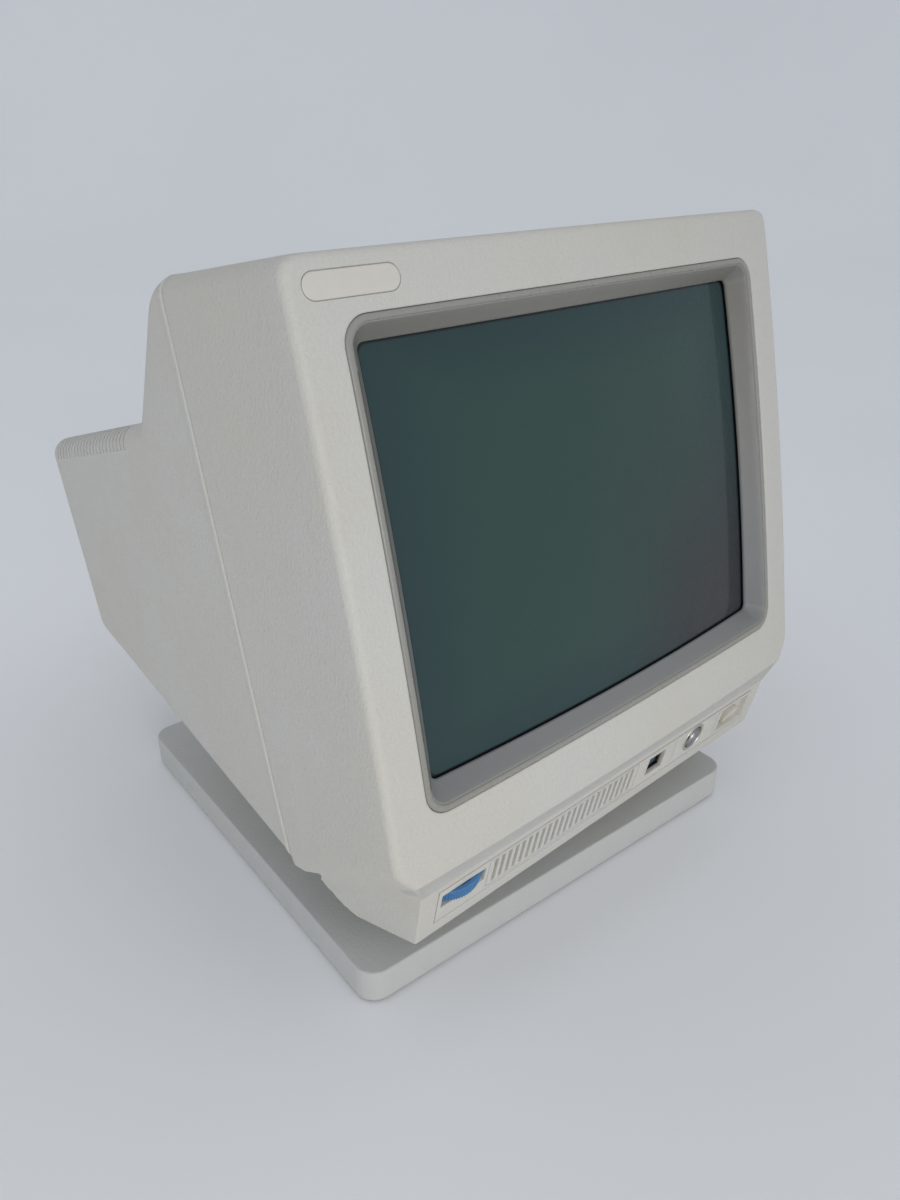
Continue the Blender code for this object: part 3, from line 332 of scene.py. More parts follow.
MATS = {
    "case": moulded("case_plastic", PEARL, 0.55, 0.75),
    "base": moulded("base_plastic", (0.55, 0.553, 0.54), 0.5, 0.4, 0.9, (1.0, 0.99, 0.96)),
    # surround: painted shade darkens its top end, see frame_plastic
    "surround": frame_plastic("surround_plastic", (0.240, 0.240, 0.238), (0.214, 0.204, 0.183)),
    # lip: a lighter copy of the surround's dark moulding, painted light on the lip's forward-facing rounded
    # edge
    "lip": moulded("surround_lip_painted_light", (0.302, 0.298, 0.275), 0.3, 0.1, 0.2),
    "panel": moulded("panel_plastic", (0.61, 0.597, 0.56), 0.5, 0.35, 0.6),
    "badge": moulded("badge_plastic", (0.66, 0.63, 0.57), 0.38, 0.1, 0.2),
    # band: a darker copy of the case plastic, painted shade on the band under the face's bottom edge
    "band": moulded("band_painted_shade", shade(PEARL, 0.84), 0.5, 0.15, 0.3, (1.0, 1.0, 1.0)),
    "break": moulded("broken_plastic", (0.66, 0.65, 0.62), 0.8, 1.2, 0.2),
    "cream": moulded("rocker_plastic", (0.66, 0.635, 0.57), 0.45, 0.1, 0.4),
    "blue": gloss_plastic("wheel_blue", (0.055, 0.195, 0.42), 0.34),
    "dark": gloss_plastic("dark_plastic", (0.035, 0.038, 0.045), 0.4),
    "wheel_dark": gloss_plastic("wheel_dark", (0.05, 0.075, 0.11), 0.35),
    # painted shade: a dark line in the surround's groove on the left side, where shade falls
    "painted_groove_shade": gloss_plastic("painted_groove_shade", (0.125, 0.12, 0.11), 0.6),
    # pocket: dark grey painted shade lining the pockets behind the two windows
    "pocket": gloss_plastic("pocket_painted_shade", (0.10, 0.105, 0.118), 0.5),
    "nylon": gloss_plastic("nylon", (0.70, 0.69, 0.62), 0.45),
    "red": gloss_plastic("silicone_red", (0.36, 0.03, 0.02), 0.5),
    "zinc": metal("zinc_plate", (0.68, 0.66, 0.58), 0.34, (1, 1, 1), 0.4),
    "steel": metal("bright_steel", (0.62, 0.62, 0.63), 0.26, (0.05, 1, 1), 0.3),
    "chrome": metal("lock_core_metal", (0.50, 0.50, 0.51), 0.24, (1, 1, 1), 0.15),
    "dish": metal("lock_dish_metal", (0.42, 0.42, 0.42), 0.38, (1, 1, 1), 0.2),
    "rubber": rubber("black_rubber"),
    "board": board("circuit_board"),
    "copper": windings("copper_windings"),
    "iron": gloss_plastic("varnished_iron", (0.06, 0.045, 0.035), 0.5),
    "glass": screen_glass("tube_glass"),
}


# ------------------------------------------------------------------ mesh tools

def object_from(bm, name, matrix, mat, body=None, replaces=(), angle=35):
    bmesh.ops.remove_doubles(bm, verts=bm.verts, dist=2e-6)
    bmesh.ops.dissolve_degenerate(bm, edges=bm.edges, dist=1e-6)
    bmesh.ops.recalc_face_normals(bm, faces=bm.faces)
    bm.transform(matrix)
    mesh = bpy.data.meshes.new(name)
    bm.to_mesh(mesh)
    bm.free()
    obj = bpy.data.objects.new(name, mesh)
    bpy.context.scene.collection.objects.link(obj)
    if mat:
        mesh.materials.append(MATS[mat])
    smooth(obj, angle)
    if body:
        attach(obj, body)
    if replaces:
        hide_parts(*replaces)
    return obj


def smooth(obj, angle=35):
    for poly in obj.data.polygons:
        poly.use_smooth = True
    obj.data.set_sharp_from_angle(angle=radians(angle))


def apply_modifiers(obj, angle=35):
    depsgraph = bpy.context.evaluated_depsgraph_get()
    mesh = bpy.data.meshes.new_from_object(obj.evaluated_get(depsgraph))
    obj.modifiers.clear()
    obj.data = mesh
    smooth(obj, angle)


def boolean(obj, tool, operation="DIFFERENCE"):
    mod = obj.modifiers.new("cut", "BOOLEAN")
    mod.operation = operation
    mod.solver = "EXACT"
    mod.object = tool
    bpy.context.view_layer.update()
    apply_modifiers(obj)
    bpy.data.objects.remove(tool)


def bevelled(obj, width, segments=2, angle=30):
    mod = obj.modifiers.new("bevel", "BEVEL")
    mod.width = width
    mod.segments = segments
    mod.limit_method = "ANGLE"
    mod.angle_limit = radians(angle)
    mod.use_clamp_overlap = True
    apply_modifiers(obj, 40)


def boxes(*limits):
    """Boxes from (x0, x1, y0, y1, z0, z1) in millimetres."""
    bm = bmesh.new()
    for limit in limits:
        x0, x1, y0, y1, z0, z1 = (v * MM for v in limit)
        made = bmesh.ops.create_cube(bm, size=1)
        centre = Vector(((x0 + x1) / 2, (y0 + y1) / 2, (z0 + z1) / 2))
        size = (x1 - x0, y1 - y0, z1 - z0)
        for vert in made["verts"]:
            vert.co = centre + Vector(a * b for a, b in zip(vert.co, size))
    return bm


def joined(parts):
    """One mesh from several, which are freed."""
    bm = bmesh.new()
    for part in parts:
        mesh = bpy.data.meshes.new("part")
        part.to_mesh(mesh)
        part.free()
        bm.from_mesh(mesh)
        bpy.data.meshes.remove(mesh)
    return bm


def loft(rings, closed=False, strips=False):
    """Skin over rings of points; with strips, the first cap is split into strips across it."""
    bm = bmesh.new()
    rows = [[bm.verts.new(p) for p in ring] for ring in rings]
    pairs = list(zip(rows, rows[1:]))
    if closed:
        pairs.append((rows[-1], rows[0]))
    for low, high in pairs:
        for i in range(len(low)):
            j = (i + 1) % len(low)
            bm.faces.new((low[i], low[j], high[j], high[i]))
    if closed:
        return bm
    bm.faces.new(rows[-1])
    first = rows[0]
    if not strips:
        bm.faces.new(first)
        return bm
    n = len(first)
    for i in range(n // 2 - 1):
        bm.faces.new((first[i], first[i + 1], first[n - 2 - i], first[n - 1 - i]))
    if n % 2:
        bm.faces.new((first[n // 2 - 1], first[n // 2], first[n // 2 + 1]))
    return bm


def rounded_rect(hw, top, bottom, radius, per_corner=8, per_side=12):
    """Corner-rounded rectangle as (x, z) pairs in millimetres."""
    corners = [(hw - radius, top - radius, 0), (-hw + radius, top - radius, 90),
               (-hw + radius, bottom + radius, 180), (hw - radius, bottom + radius, 270)]
    arcs = []
    for cx, cz, start in corners:
        arcs.append([(cx + radius * cos(radians(start + 90 * i / per_corner)),
                      cz + radius * sin(radians(start + 90 * i / per_corner)))
                     for i in range(per_corner + 1)])
    points = []
    for k, arc in enumerate(arcs):
        points += arc
        a, b = arc[-1], arcs[(k + 1) % 4][0]
        points += [(a[0] + (b[0] - a[0]) * i / per_side, a[1] + (b[1] - a[1]) * i / per_side)
                   for i in range(1, per_side)]
    return points


def turned(profile, segments, x=0.0, z=0.0, closed=False):
    """Turned about an axis along Y through (x, z); profile of (radius, y) in millimetres."""
    rings = []
    for r, y in profile:
        rings.append([Vector((x + r * cos(2 * pi * i / segments), y,
                              z + r * sin(2 * pi * i / segments))) * MM for i in range(segments)])
    return loft(rings, closed)


def upright(bm):
    bmesh.ops.rotate(bm, verts=bm.verts, cent=(0, 0, 0), matrix=Matrix.Rotation(pi / 2, 3, "X"))
    return bm


def across(bm):
    bmesh.ops.rotate(bm, verts=bm.verts, cent=(0, 0, 0), matrix=Matrix.Rotation(-pi / 2, 3, "Z"))
    return bm


def lerp(a, b, t):
    return a + (b - a) * t


def step(t):
    t = min(1.0, max(0.0, t))
    return t * t * (3 - 2 * t)


def table(pairs, v):
    """Straight-line look-up in a list of (key, value) sorted by key."""
    if v <= pairs[0][0]:
        return pairs[0][1]
    for (a, p), (b, q) in zip(pairs, pairs[1:]):
        if v <= b:
            return p + (q - p) * (v - a) / (b - a)
    return pairs[-1][1]


# ------------------------------------------------------------------ shared surfaces (millimetres)

def face_y(x, z):
    """Depth of the bezel's front, which bulges both ways."""
    return -3.8 * (1 - (x / HALF_W) ** 2) - 3.6 * max(0.0, 1 - ((z + 135) / 135) ** 2)


def glass_y(x, z):
    """Depth of the tube's curved face."""
    return 0.7 + 6.0 * (x / 130) ** 2 + 2.94 * ((z - TUBE_Z) / 100) ** 2


# ------------------------------------------------------------------ front bezel

# height, half width, front line, bulge share, extra recess, slope back, flare, rear line
LOW_ROWS = [
    (-250.0, 160.0, 0.0, 1.0, 0.0, -0.27, 0.0, 96),
    (-254.0, 159.9, 0.0, 1.0, 0.0, -0.29, 0.0, 96),
    (-257.0, 159.2, 0.0, 1.0, 0.0, -0.305, 0.2, 96),
    (-259.5, 157.8, 0.0, 1.0, 0.0, -0.315, 0.8, 96),
    (-262.0, 155.9, 0.0, 1.0, 0.0, -0.32, 1.6, 96),
    (-264.5, 153.9, 0.0, 1.0, 0.0, -0.325, 2.4, 96),
    (-266.8, 152.2, 0.0, 1.0, 0.0, -0.33, 3.0, 96),
    (-267.6, 151.6, 0.15, 0.97, 0.0, -0.33, 3.3, 95.6),
    (-268.1, 151.2, 0.6, 0.93, 0.1, -0.33, 3.5, 95.3),
    (-268.6, 150.9, 0.95, 0.90, 0.7, -0.33, 3.6, 95.1),
    (-270.2, 149.9, 1.9, 0.78, 1.0, -0.325, 4.1, 94.4),
    (-272.6, 148.5, 3.4, 0.60, 1.1, -0.32, 4.8, 93.4),
    (-275.2, 146.9, 5.0, 0.42, 1.1, -0.315, 5.5, 92.3),
    (-277.8, 145.3, 6.5, 0.20, 1.0, -0.305, 6.3, 91.2),
    (-279.7, 144.2, 7.5, 0.06, 0.7, -0.30, 6.7, 90.5),
    (-280.6, 143.6, 8.1, 0.0, 0.05, -0.295, 7.0, 90.2),
    (-281.4, 143.4, 8.6, 0.0, 0.0, -0.29, 7.0, 90.0),
    (-290.0, 143.1, 12.3, 0.0, 0.0, -0.21, 7.1, 90.0),
    (-300.0, 142.6, 16.8, 0.0, 0.0, -0.12, 7.3, 90.0),
    (-311.5, 142.3, 22.1, 0.0, 0.0, -0.015, 7.5, 90.0),
    (-312.8, 142.0, 23.0, 0.0, 0.0, 0.0, 7.5, 89.6),
    (-313.3, 141.2, 24.1, 0.0, 0.0, 0.0, 7.5, 89.0),
]


def bezel_levels():
    """Rows of the same eight values as LOW_ROWS, from the rounded top down to the chin's underside."""
    levels = []
    for k in range(10):
        a = radians(90 - 10 * k)
        z = -9 + 9 * sin(a)
        y = 3.2 - sqrt(max(0.0, 10.24 - (z + 3.2) ** 2)) if z > -3.2 else 0.0
        levels.append((z, 151 + 9 * cos(a), y, 1.0, 0.0, 0.05, 0.0, 96))
    z = -14.0
    while z > -248:
        rise = 0.05 * step((z + 60) / 50) if z > -60 else -0.25 * step((-200 - z) / 48)
        levels.append((z, 160, 0.0, 1.0, 0.0, rise, 0.0, 96))
        z -= 9.0
    return levels + LOW_ROWS


def bezel_ring(level, inset, back, count):
    """One level of the bezel: up one side, across the bulged front and back along the other."""
    z, hw, y0, bulge, recess, rise, flare, rear = level
    edge = lerp(4.0, 1.0, min(1.0, max(0.0, (-266 - z) / 8)))
    edge = max(0.6, edge - inset * 0.6)
    w = hw - inset
    y0 = y0 + inset
    lift = -inset if z > -150 else inset
    y1 = rear
    if back:
        y1 = rear - inset if rear < 95.9 else back
    spans = 10
    side = [(w, lerp(y1, y0 + edge, i / spans)) for i in range(spans)]
    if not back:
        side[0] = (w - 0.5, y1)
        side.insert(1, (w, y1 - 0.5))
    for i in range(7):
        a = radians(90 * i / 6)
        side.append((w - edge + edge * cos(a), y0 + edge - edge * sin(a)))
    front = []
    reach = w - edge
    for k in range(1, count):
        swing = cos(pi * k / count)
        t = 0.5 - 0.5 * swing * (0.35 + 0.65 * abs(swing) ** 0.5)
        front.append((lerp(reach, -reach, t), y0))
    plan = side + front + [(-x, y) for x, y in reversed(side)]
    ring = []
    for x, y in plan:
        depth = min(1.0, max(0.0, (y - y0) / max(1.0, y1 - y0)))
        near = 1 - step((y - y0) / 9.0) if y > y0 + edge else 1.0
        shift = bulge * face_y(x, z) * near
        dip = recess * step((w - abs(x) - 1.6) / 1.6) if y < y0 + 0.01 else 0.0
        out = flare * depth * (1 if x > 0 else -1)
        ring.append(Vector((x + out, y + shift + dip, z + lift + rise * (y - y0))) * MM)
    return ring


def bezel_hull(inset, back=None, count=48):
    levels = bezel_levels()
    if inset:
        lowest = levels[-1]
        levels = [(*level[:4], 0.0, *level[5:]) for level in levels[::2]]
        levels[-1] = lowest
    return loft([bezel_ring(level, inset, back, count) for level in levels], strips=True)


# depth and height along the snapped edge, from the chin's underside back to the seam
BREAK_LINE = [(57, -317), (60, -313.5), (63.5, -312.5), (67, -311.5), (69.5, -310.5), (70.5, -309.5),
              (73, -309), (75, -307.5), (77, -306), (79, -304), (81, -302.5), (80.5, -299),
              (79.5, -297.5), (79.5, -295), (78, -293.5), (78, -291), (76, -289.5), (75, -287.5),
              (73.5, -286.5), (74.5, -285.5), (77, -286), (79.5, -287), (82.5, -287.5), (85.5, -288.5),
              (88.5, -289), (93.5, -288), (101, -287.5)]


def break_tool():
    """Solid that takes away the snapped-off rear lower corner of the chin."""
    rough_line = []
    for (y0, z0), (y1, z1) in zip(BREAK_LINE, BREAK_LINE[1:]):
        for t in (0.0, 0.5):
            jag = 0.35 * noise.noise(Vector((y0 * 7.3 + t * 5.1, z0 * 3.7, 1.7)))
            rough_line.append((lerp(y0, y1, t) + jag, lerp(z0, z1, t) - jag))
    rings = []
    for k, x in enumerate((-175, -156, -152, -149, -146, -143, -137, -131, -126, -120)):
        ring = []
        shrink = step((x + 140) / 22.0) if x > -140 else 0.0
        for i, (y, z) in enumerate(rough_line):
            wobble = noise.noise(Vector((i * 0.9, k * 0.8, 3.1)))
            wobble2 = noise.noise(Vector((i * 0.9, k * 0.8, 9.7)))
            yy = y + 0.3 * wobble + shrink * (98 - y) * 0.72
            zz = z + 0.3 * wobble2 - shrink * (312.5 + z) * 0.55
            ring.append(Vector((x, yy, zz)) * MM)
        ring.append(Vector((x, 101, -330)) * MM)
        ring.append(Vector((x, ring[0].y / MM, -330)) * MM)
        rings.append(ring)
    return loft(rings)


def badge_outline(grow=0.0):
    points = rounded_rect(22.2 + grow, -7.0 + grow, -17.4 - grow, 5.2 + grow * 0.99, 12, 6)
    return [(x + BADGE_X, z) for x, z in points]


def outline_rings(outline_at, rows):
    """Rings along a curved front; rows of (grow, depth below the face) in millimetres."""
    return [[Vector((x, face_y(x, z) + d, z)) * MM for x, z in outline_at(g)] for g, d in rows]


def wider_left(x, share=1.0):
    """The window reaches a little further out on its left side."""
    return x * (1 + 0.013 * share) if x < 0 else x


def window_outline(grow):
    hw, top, bottom, r = WINDOW
    outline = rounded_rect(hw + grow, top + grow, bottom - grow, r + grow, 12, 24)
    return [(wider_left(x), z) for x, z in outline]


def make_bezel():
    bezel = object_from(bezel_hull(0), "bezel_shell", TO_MONITOR, "case", "monitor",
                        ("front_bezel",))
    cavity = object_from(bezel_hull(WALL, 100, 24), "tool", TO_MONITOR, None)
    boolean(bezel, cavity)
    rows = [(1.6, -6), (1.3, -0.3), (0.75, -0.02), (0.45, 0.12), (0.2, 0.4), (0.12, 0.9), (0.12, 12)]
    window = object_from(loft(outline_rings(window_outline, rows)), "tool", TO_MONITOR, None)
    boolean(bezel, window)
    rows = [(0.75, -4), (0.62, -0.2), (0.4, 0.02), (0.28, 0.25), (0.28, 0.9)]
    pocket = object_from(loft(outline_rings(badge_outline, rows)), "tool", TO_MONITOR, None)
    boolean(bezel, pocket)
    reach = PANEL_HALF_W + 0.5
    hole = object_from(boxes((-reach, reach, -8, 9, -26.75, -3.25)), "tool", TO_STRIP, None)
    boolean(bezel, hole)
    snapped = object_from(break_tool(), "tool", TO_MONITOR, "break")
    bezel.data.materials.append(MATS["break"])
    boolean(bezel, snapped)
    # painted shade: faces of the band between the face's bottom edge and the control strip get the darker
    # band material
    bezel.data.materials.append(MATS["band"])
    to_local = TO_MONITOR.inverted()
    for poly in bezel.data.polygons:
        x, y, z = to_local @ poly.center / MM
        if -280.4 < z < -267.9 and y < 10.5 and abs(x) < 152 and poly.material_index == 0:
            poly.material_index = 2


def make_badge():
    """Plain raised plate with rounded ends."""
    rows = [(0.0, 1.2), (0.0, 0.35), (-0.12, 0.05), (-0.4, -0.1), (-0.9, -0.14)]
    rings = outline_rings(badge_outline, rows)
    object_from(loft(rings), "badge", TO_MONITOR, "badge", "monitor", ("badge_plate",))


# ------------------------------------------------------------------ screen surround

# share of the way from window to opening, share of the way back to the glass, extra depth
SURROUND_ROWS = [
    (0.0, 0.0, 6.0), (0.0, 0.0, 1.1), (0.012, 0.0, 0.5), (0.04, 0.0, 0.12), (0.08, 0.0, -0.08),
    (0.14, 0.0, -0.14), (0.20, 0.0, -0.06), (0.245, 0.0, 0.14), (0.27, 0.0, 0.50), (0.29, 0.01, 0.95),
    (0.33, 0.06, 0.55), (0.38, 0.14, 0.30), (0.45, 0.24, 0.15), (0.56, 0.40, 0.0), (0.70, 0.60, 0.0),
    (0.84, 0.79, 0.0), (0.92, 0.90, 0.0), (0.96, 0.945, 0.05), (0.985, 0.975, 0.22), (1.0, 1.0, 0.55),
    (1.0, 1.0, 1.0), (0.96, 1.0, 1.4), (0.6, 1.0, 1.2), (0.0, 0.62, 3.0),
]


def make_surround():
    rings = []
    for f, g, d in SURROUND_ROWS:
        hw, top, bottom, r = (lerp(a, b, f) for a, b in zip(WINDOW, OPENING))
        ring = []
        for x, z in rounded_rect(hw, top, bottom, r, 12, 24):
            x = wider_left(x, 1 - f)
            y = lerp(face_y(x, z), glass_y(x, z) - 1.9, g) + d
            ring.append(Vector((x, y, z)) * MM)
        rings.append(ring)
    bm = loft(rings, closed=True)
    for i, face in enumerate(bm.faces):
        row = i // len(rings[0])
        middle = face.calc_center_median()
        # painted shade: groove rows 9 to 11 on the left side get the dark groove material
        in_painted_shade = 9 <= row <= 11 and middle.x < -0.128 and -0.224 < middle.z < -0.042
        # rows 1 to 9 are the lip, given the lighter lip material as painted light
        face.material_index = 2 if in_painted_shade else 1 if 1 <= row <= 9 else 0
    frame_piece = object_from(bm, "screen_frame", TO_MONITOR, "surround", "monitor", ("screen_surround",),
                              50)
    frame_piece.data.materials.append(MATS["lip"])
    frame_piece.data.materials.append(MATS["painted_groove_shade"])


# ------------------------------------------------------------------ picture tube

def make_tube():
    """Curved face, then funnel and neck as sections of (depth, half width, half height, corner radius)."""
    hw, hh = TUBE_HALF
    rings = []
    for s in (0.04, 0.12, 0.2, 0.3, 0.4, 0.5, 0.6, 0.7, 0.8, 0.88, 0.94, 0.975):
        outline = rounded_rect(hw * s, hh * s + TUBE_Z, -hh * s + TUBE_Z, 22 * s, 8, 12)
        rings.append([Vector((x, glass_y(x, z), z)) * MM for x, z in outline])
    sections = [(13.2, 143.4, 112.4, 21), (15.5, 144.8, 113.8, 22), (20, hw, hh, 22), (44, hw, hh, 22),
                (52, 141, 111, 25), (70, 128, 101, 34), (95, 103, 84, 44), (120, 76, 66, 46),
                (140, 48, 45, 40), (150, 34, 34, 33.9), (158, 27, 27, 26.9), (166, 20.5, 20.5, 20.4),
                (174, 16, 16, 15.9), (180, 14.6, 14.6, 14.5), (262, 14.6, 14.6, 14.5)]
    for y, hw, hh, r in sections:
        outline = rounded_rect(hw, hh + TUBE_Z, -hh + TUBE_Z, r, 8, 12)
        rings.append([Vector((x, y, z)) * MM for x, z in outline])
    object_from(loft(rings), "picture_tube", TO_MONITOR, "glass", "monitor", ("crt_bulb",), 60)


# ------------------------------------------------------------------ rear cover

# depth and height along the middle of the top and of the underside
TOP_LINE = [(97, 4.75), (103, 4.05), (106.5, 3.3), (110.3, 1.3), (112.8, -0.9), (115.3, -3.9),
            (118.5, -8.3), (149.5, -49.6), (152.5, -53.4), (154.5, -55.4), (156.5, -56.8),
            (159.5, -57.9), (164.5, -58.2), (300.5, -67.0)]
BOTTOM_LINE = [(97, -287.0), (99, -286.2), (101, -285.0), (270, -201.0), (300.5, -185.9)]


def rear_lean(y, z):
    """The rear wall leans, its top edge further back than its bottom edge."""
    return 0.033 * (z + 130) * min(1.0, max(0.0, (y - 200) / 80))


def cover_ring(y, inset, wall=0.0):
    """One section of the cover; its far end is rounded in over REAR_ROUND."""
    back = min(REAR_ROUND, max(0.0, y - 286.5))
    round_in = REAR_ROUND - sqrt(REAR_ROUND ** 2 - back * back)
    grow = inset + round_in
    top = table(TOP_LINE, y) - grow
    bottom = table(BOTTOM_LINE, y) + grow * 1.05
    radius = max(1.5, table([(150, 9), (200, 10)], y) - grow * 0.6)
    return [Vector((x, y - wall + rear_lean(y, z), z)) * MM
            for x, z in rounded_rect(HALF_W - grow, top, bottom, radius, 8, 14)]


def cover_hull(inset, wall):
    """Outer hull when wall is 0, otherwise the hollow inside it."""
    ys = [97.0, 97.3, 97.9, 99, 101, 103.5, 105.5, 107.5, 109.5, 111.3, 113, 115, 117, 120, 130, 140, 148,
          150.5, 152.5, 154, 155.5, 157, 159, 161.5, 164.5, 180, 195, 210, 225, 240, 255, 270, 279.5, 286.5,
          289.5, 292, 294.3, 296.3, 297.9, 299.1, 299.9, 300.35, 300.5]
    edge = {97.0: 0.5, 97.3: 0.0, 97.9: -0.35, 99: -0.35, 101: 0.0}
    if wall:
        rings = [[Vector((p.x, 90 * MM, p.z)) for p in cover_ring(97, inset)]]
        rings += [cover_ring(y, inset, wall) for y in ys[3::2]]
    else:
        rings = [cover_ring(y, inset + edge.get(y, 0.0)) for y in ys]
    return loft(rings)


def cover_slots():
    """Side vents, underside intake and the three port openings."""
    slots = []
    for i in range(VENTS):
        y = 180 + VENT_PITCH * i
        low = -71 - 0.06 * (y - 180)
        for x0, x1 in ((-170, -96), (96, 170)):
            slots.append((x0, x1, y - 0.95, y + 0.95, low, -40))
    for i in range(INTAKES):
        x = -65 + INTAKE_PITCH * i
        slots.append((x - 1.5, x + 1.5, 218, 258, -250, -195))
    for x, z, w, h in ((-115, -160, 27.2, 19.6), (122, -108, 16, 14), (122, -150, 15, 15)):
        slots.append((x - w / 2 - 0.35, x + w / 2 + 0.35, 289, 305, z - h / 2 - 0.35, z + h / 2 + 0.35))
    return boxes(*slots)


def make_cover():
    hull = cover_hull(0, 0)
    cover = object_from(hull, "cover_shell", TO_MONITOR, "case", "monitor", ("rear_cover",))
    lip = loft([[Vector((p.x, y * MM, p.z)) for p in cover_ring(98.5, 1.6)] for y in (90.5, 99)])
    boolean(cover, object_from(lip, "tool", TO_MONITOR, None), "UNION")
    boolean(cover, object_from(cover_hull(WALL, WALL), "tool", TO_MONITOR, None))
    sides = (-CASE_SCREW_X, CASE_SCREW_X)
    wells = [turned([(4.9, 104.0), (4.9, 175)], 28, x, z) for x in sides for z in CASE_SCREW_Z]
    boolean(cover, object_from(joined(wells), "tool", TO_MONITOR, None))
    boolean(cover, object_from(cover_slots(), "tool", TO_MONITOR, None))
    posts = []
    for x in sides:
        for z, end in zip(CASE_SCREW_Z, (111.0, 135.0)):
            profile = [(2.5, 97.2), (6.5, 97.2), (6.5, end), (5.1, end), (5.1, 104.0), (2.5, 104.0)]
            posts.append(turned(profile, 28, x, z, True))
    object_from(joined(posts), "cover_posts", TO_MONITOR, "case", "monitor", ())


# ------------------------------------------------------------------ control strip


def make_panel():
    """Strip with the grille and two windows (slots), the seams round each field (grooves, rails), the
    rocker's recess and well, the lock's hole and deeper pockets behind the two windows."""
    face = boxes((-PANEL_HALF_W, PANEL_HALF_W, 0, 6, -26.25, -3.75))
    panel = object_from(face, "strip_panel", TO_STRIP, "panel", "monitor", ("control_panel",))
    top = PANEL_TOP
    slots = []
    for i in range(GRILLE_SLOTS):
        u = -93.6 + GRILLE_PITCH * i
        slots.append((u - 1.3, u + 1.3, -1, 9, top - 18.9, top - 2.5))
    for u0, u1, v0, v1 in ((-129.6, -100.8, 4.0, 12.9), (29.2, 44.6, 3.4, 17.0)):
        slots.append((u0, u1, -1, 9, top - v1, top - v0))
    grooves = []
    for u, v0, v1 in ((-98.4, 1.3, 20.9), (18.7, 1.3, 20.9), (54.8, 1.5, 20.5), (98.6, 1.5, 20.5)):
        grooves.append((u - 0.27, u + 0.27, -1, 0.7, top - v1, top - v0))
    recess = (101.9, 130.2, -1, 3, top - 20.2, top - 2.6)
    well = (107.4, 120.6, 2, 9, top - 20.0, top - 2.8)
    rails = [(-98.4, 18.7, -1, 0.7, top - v - 0.25, top - v + 0.25) for v in (1.55, 20.65)]
    pockets = [(-140, -96, 2.5, 9, top - 21, top - 1), (26, 50, 2.5, 9, top - 21, top - 1)]
    lock_hole = turned([(9.7, -1), (9.7, 9)], 56, *LOCK_AT)
    for cut in (boxes(*slots), boxes(recess), boxes(well), lock_hole, boxes(*grooves), boxes(*rails),
                boxes(*pockets)):
        boolean(panel, object_from(cut, "tool", TO_STRIP, None))
    bevelled(panel, 0.2 * MM, 2, 40)
    # painted shade: faces deep in the pockets behind the two windows get the dark grey pocket material
    panel.data.materials.append(MATS["pocket"])
    to_local = TO_STRIP.inverted()
    for poly in panel.data.polygons:
        u, depth, _ = to_local @ poly.center / MM
        if depth > 2.2 and (-131 < u < -99 or 27 < u < 49):
            poly.material_index = 1
    dial = TO_STRIP @ Matrix.Translation((-0.1152, 0.017, -0.0111))
    make_wheel("wheel_brightness", 20.3, 3.3, dial, "blue", "brightness_dial", "brightness_wheel", upright)
    dial = TO_STRIP @ Matrix.Translation((0.0369, 0.0165, -0.0138))
    make_wheel("wheel_contrast", 13.8, 4.5, dial, "wheel_dark", "contrast_dial", "contrast_wheel", across)
    make_lock()
    make_rocker()


def knurled_ring(r, y, bite, count):
    """Circle of points with every other pair drawn in by bite."""
    points = []
    for i in range(count):
        a = 2 * pi * i / count
        reach = r - (bite if i % 4 in (0, 1) else 0.0)
        points.append(Vector((reach * cos(a), y, reach * sin(a))) * MM)
    return points


def make_wheel(name, radius, half, matrix, mat, body, node, turn):
    """Thumbwheel with a knurled rim, dished faces and a bore."""
    count = int(radius * 4.4) * 4
    knurl = 0.45
    face = [(3.4, 0.0), (5.5, 0.0), (6.2, 0.5), (radius - 3.2, 0.5), (radius - 2.6, 0.0), (radius - 1.0, 0.0)]
    rim = [(radius - 0.35, half - 0.35), (radius, half - 0.8)]
    rows = [(r, dip - half, 0.0) for r, dip in face]
    rows += [(r, -y, knurl) for r, y in rim]
    rows += [(r, y, knurl) for r, y in reversed(rim)]
    rows += [(r, half - dip, 0.0) for r, dip in reversed(face)]
    bm = turn(loft([knurled_ring(r, y, bite, count) for r, y, bite in rows], closed=True))
    object_from(bm, name, matrix, mat, body, (node,), 28)


def make_lock():
    """Dished ring with the key plug in it, slotted for a flat key."""
    at = TO_STRIP @ Matrix.Translation((LOCK_AT[0] * MM, 0, LOCK_AT[1] * MM))
    ring = [(9.35, 7), (9.35, 0.2), (9.1, -0.15), (8.7, -0.32), (8.3, -0.3), (8.0, -0.05), (7.8, 0.5),
            (7.5, 2.2), (7.2, 2.9), (6.9, 3.2), (6.9, 22), (8.9, 22), (8.9, 7)]
    bm = turned(ring, 72, closed=True)
    for i, face in enumerate(bm.faces):
        face.material_index = 1 if 5 <= i // 72 <= 9 else 0
    barrel = object_from(bm, "lock_ring", at, "zinc", "monitor", ("lock_barrel",))
    barrel.data.materials.append(MATS["dish"])
    plug = [(0.4, 2.35), (3.4, 2.4), (5.4, 2.7), (6.2, 3.1), (6.5, 3.6), (6.5, 24)]
    core = object_from(turned(plug, 56), "lock_core", at, "chrome", "key_plug", ("lock_plug",))
    key = boxes((-0.9, 0.9, 1, 14, -4.4, 4.4))
    boolean(core, object_from(key, "tool", at, None))


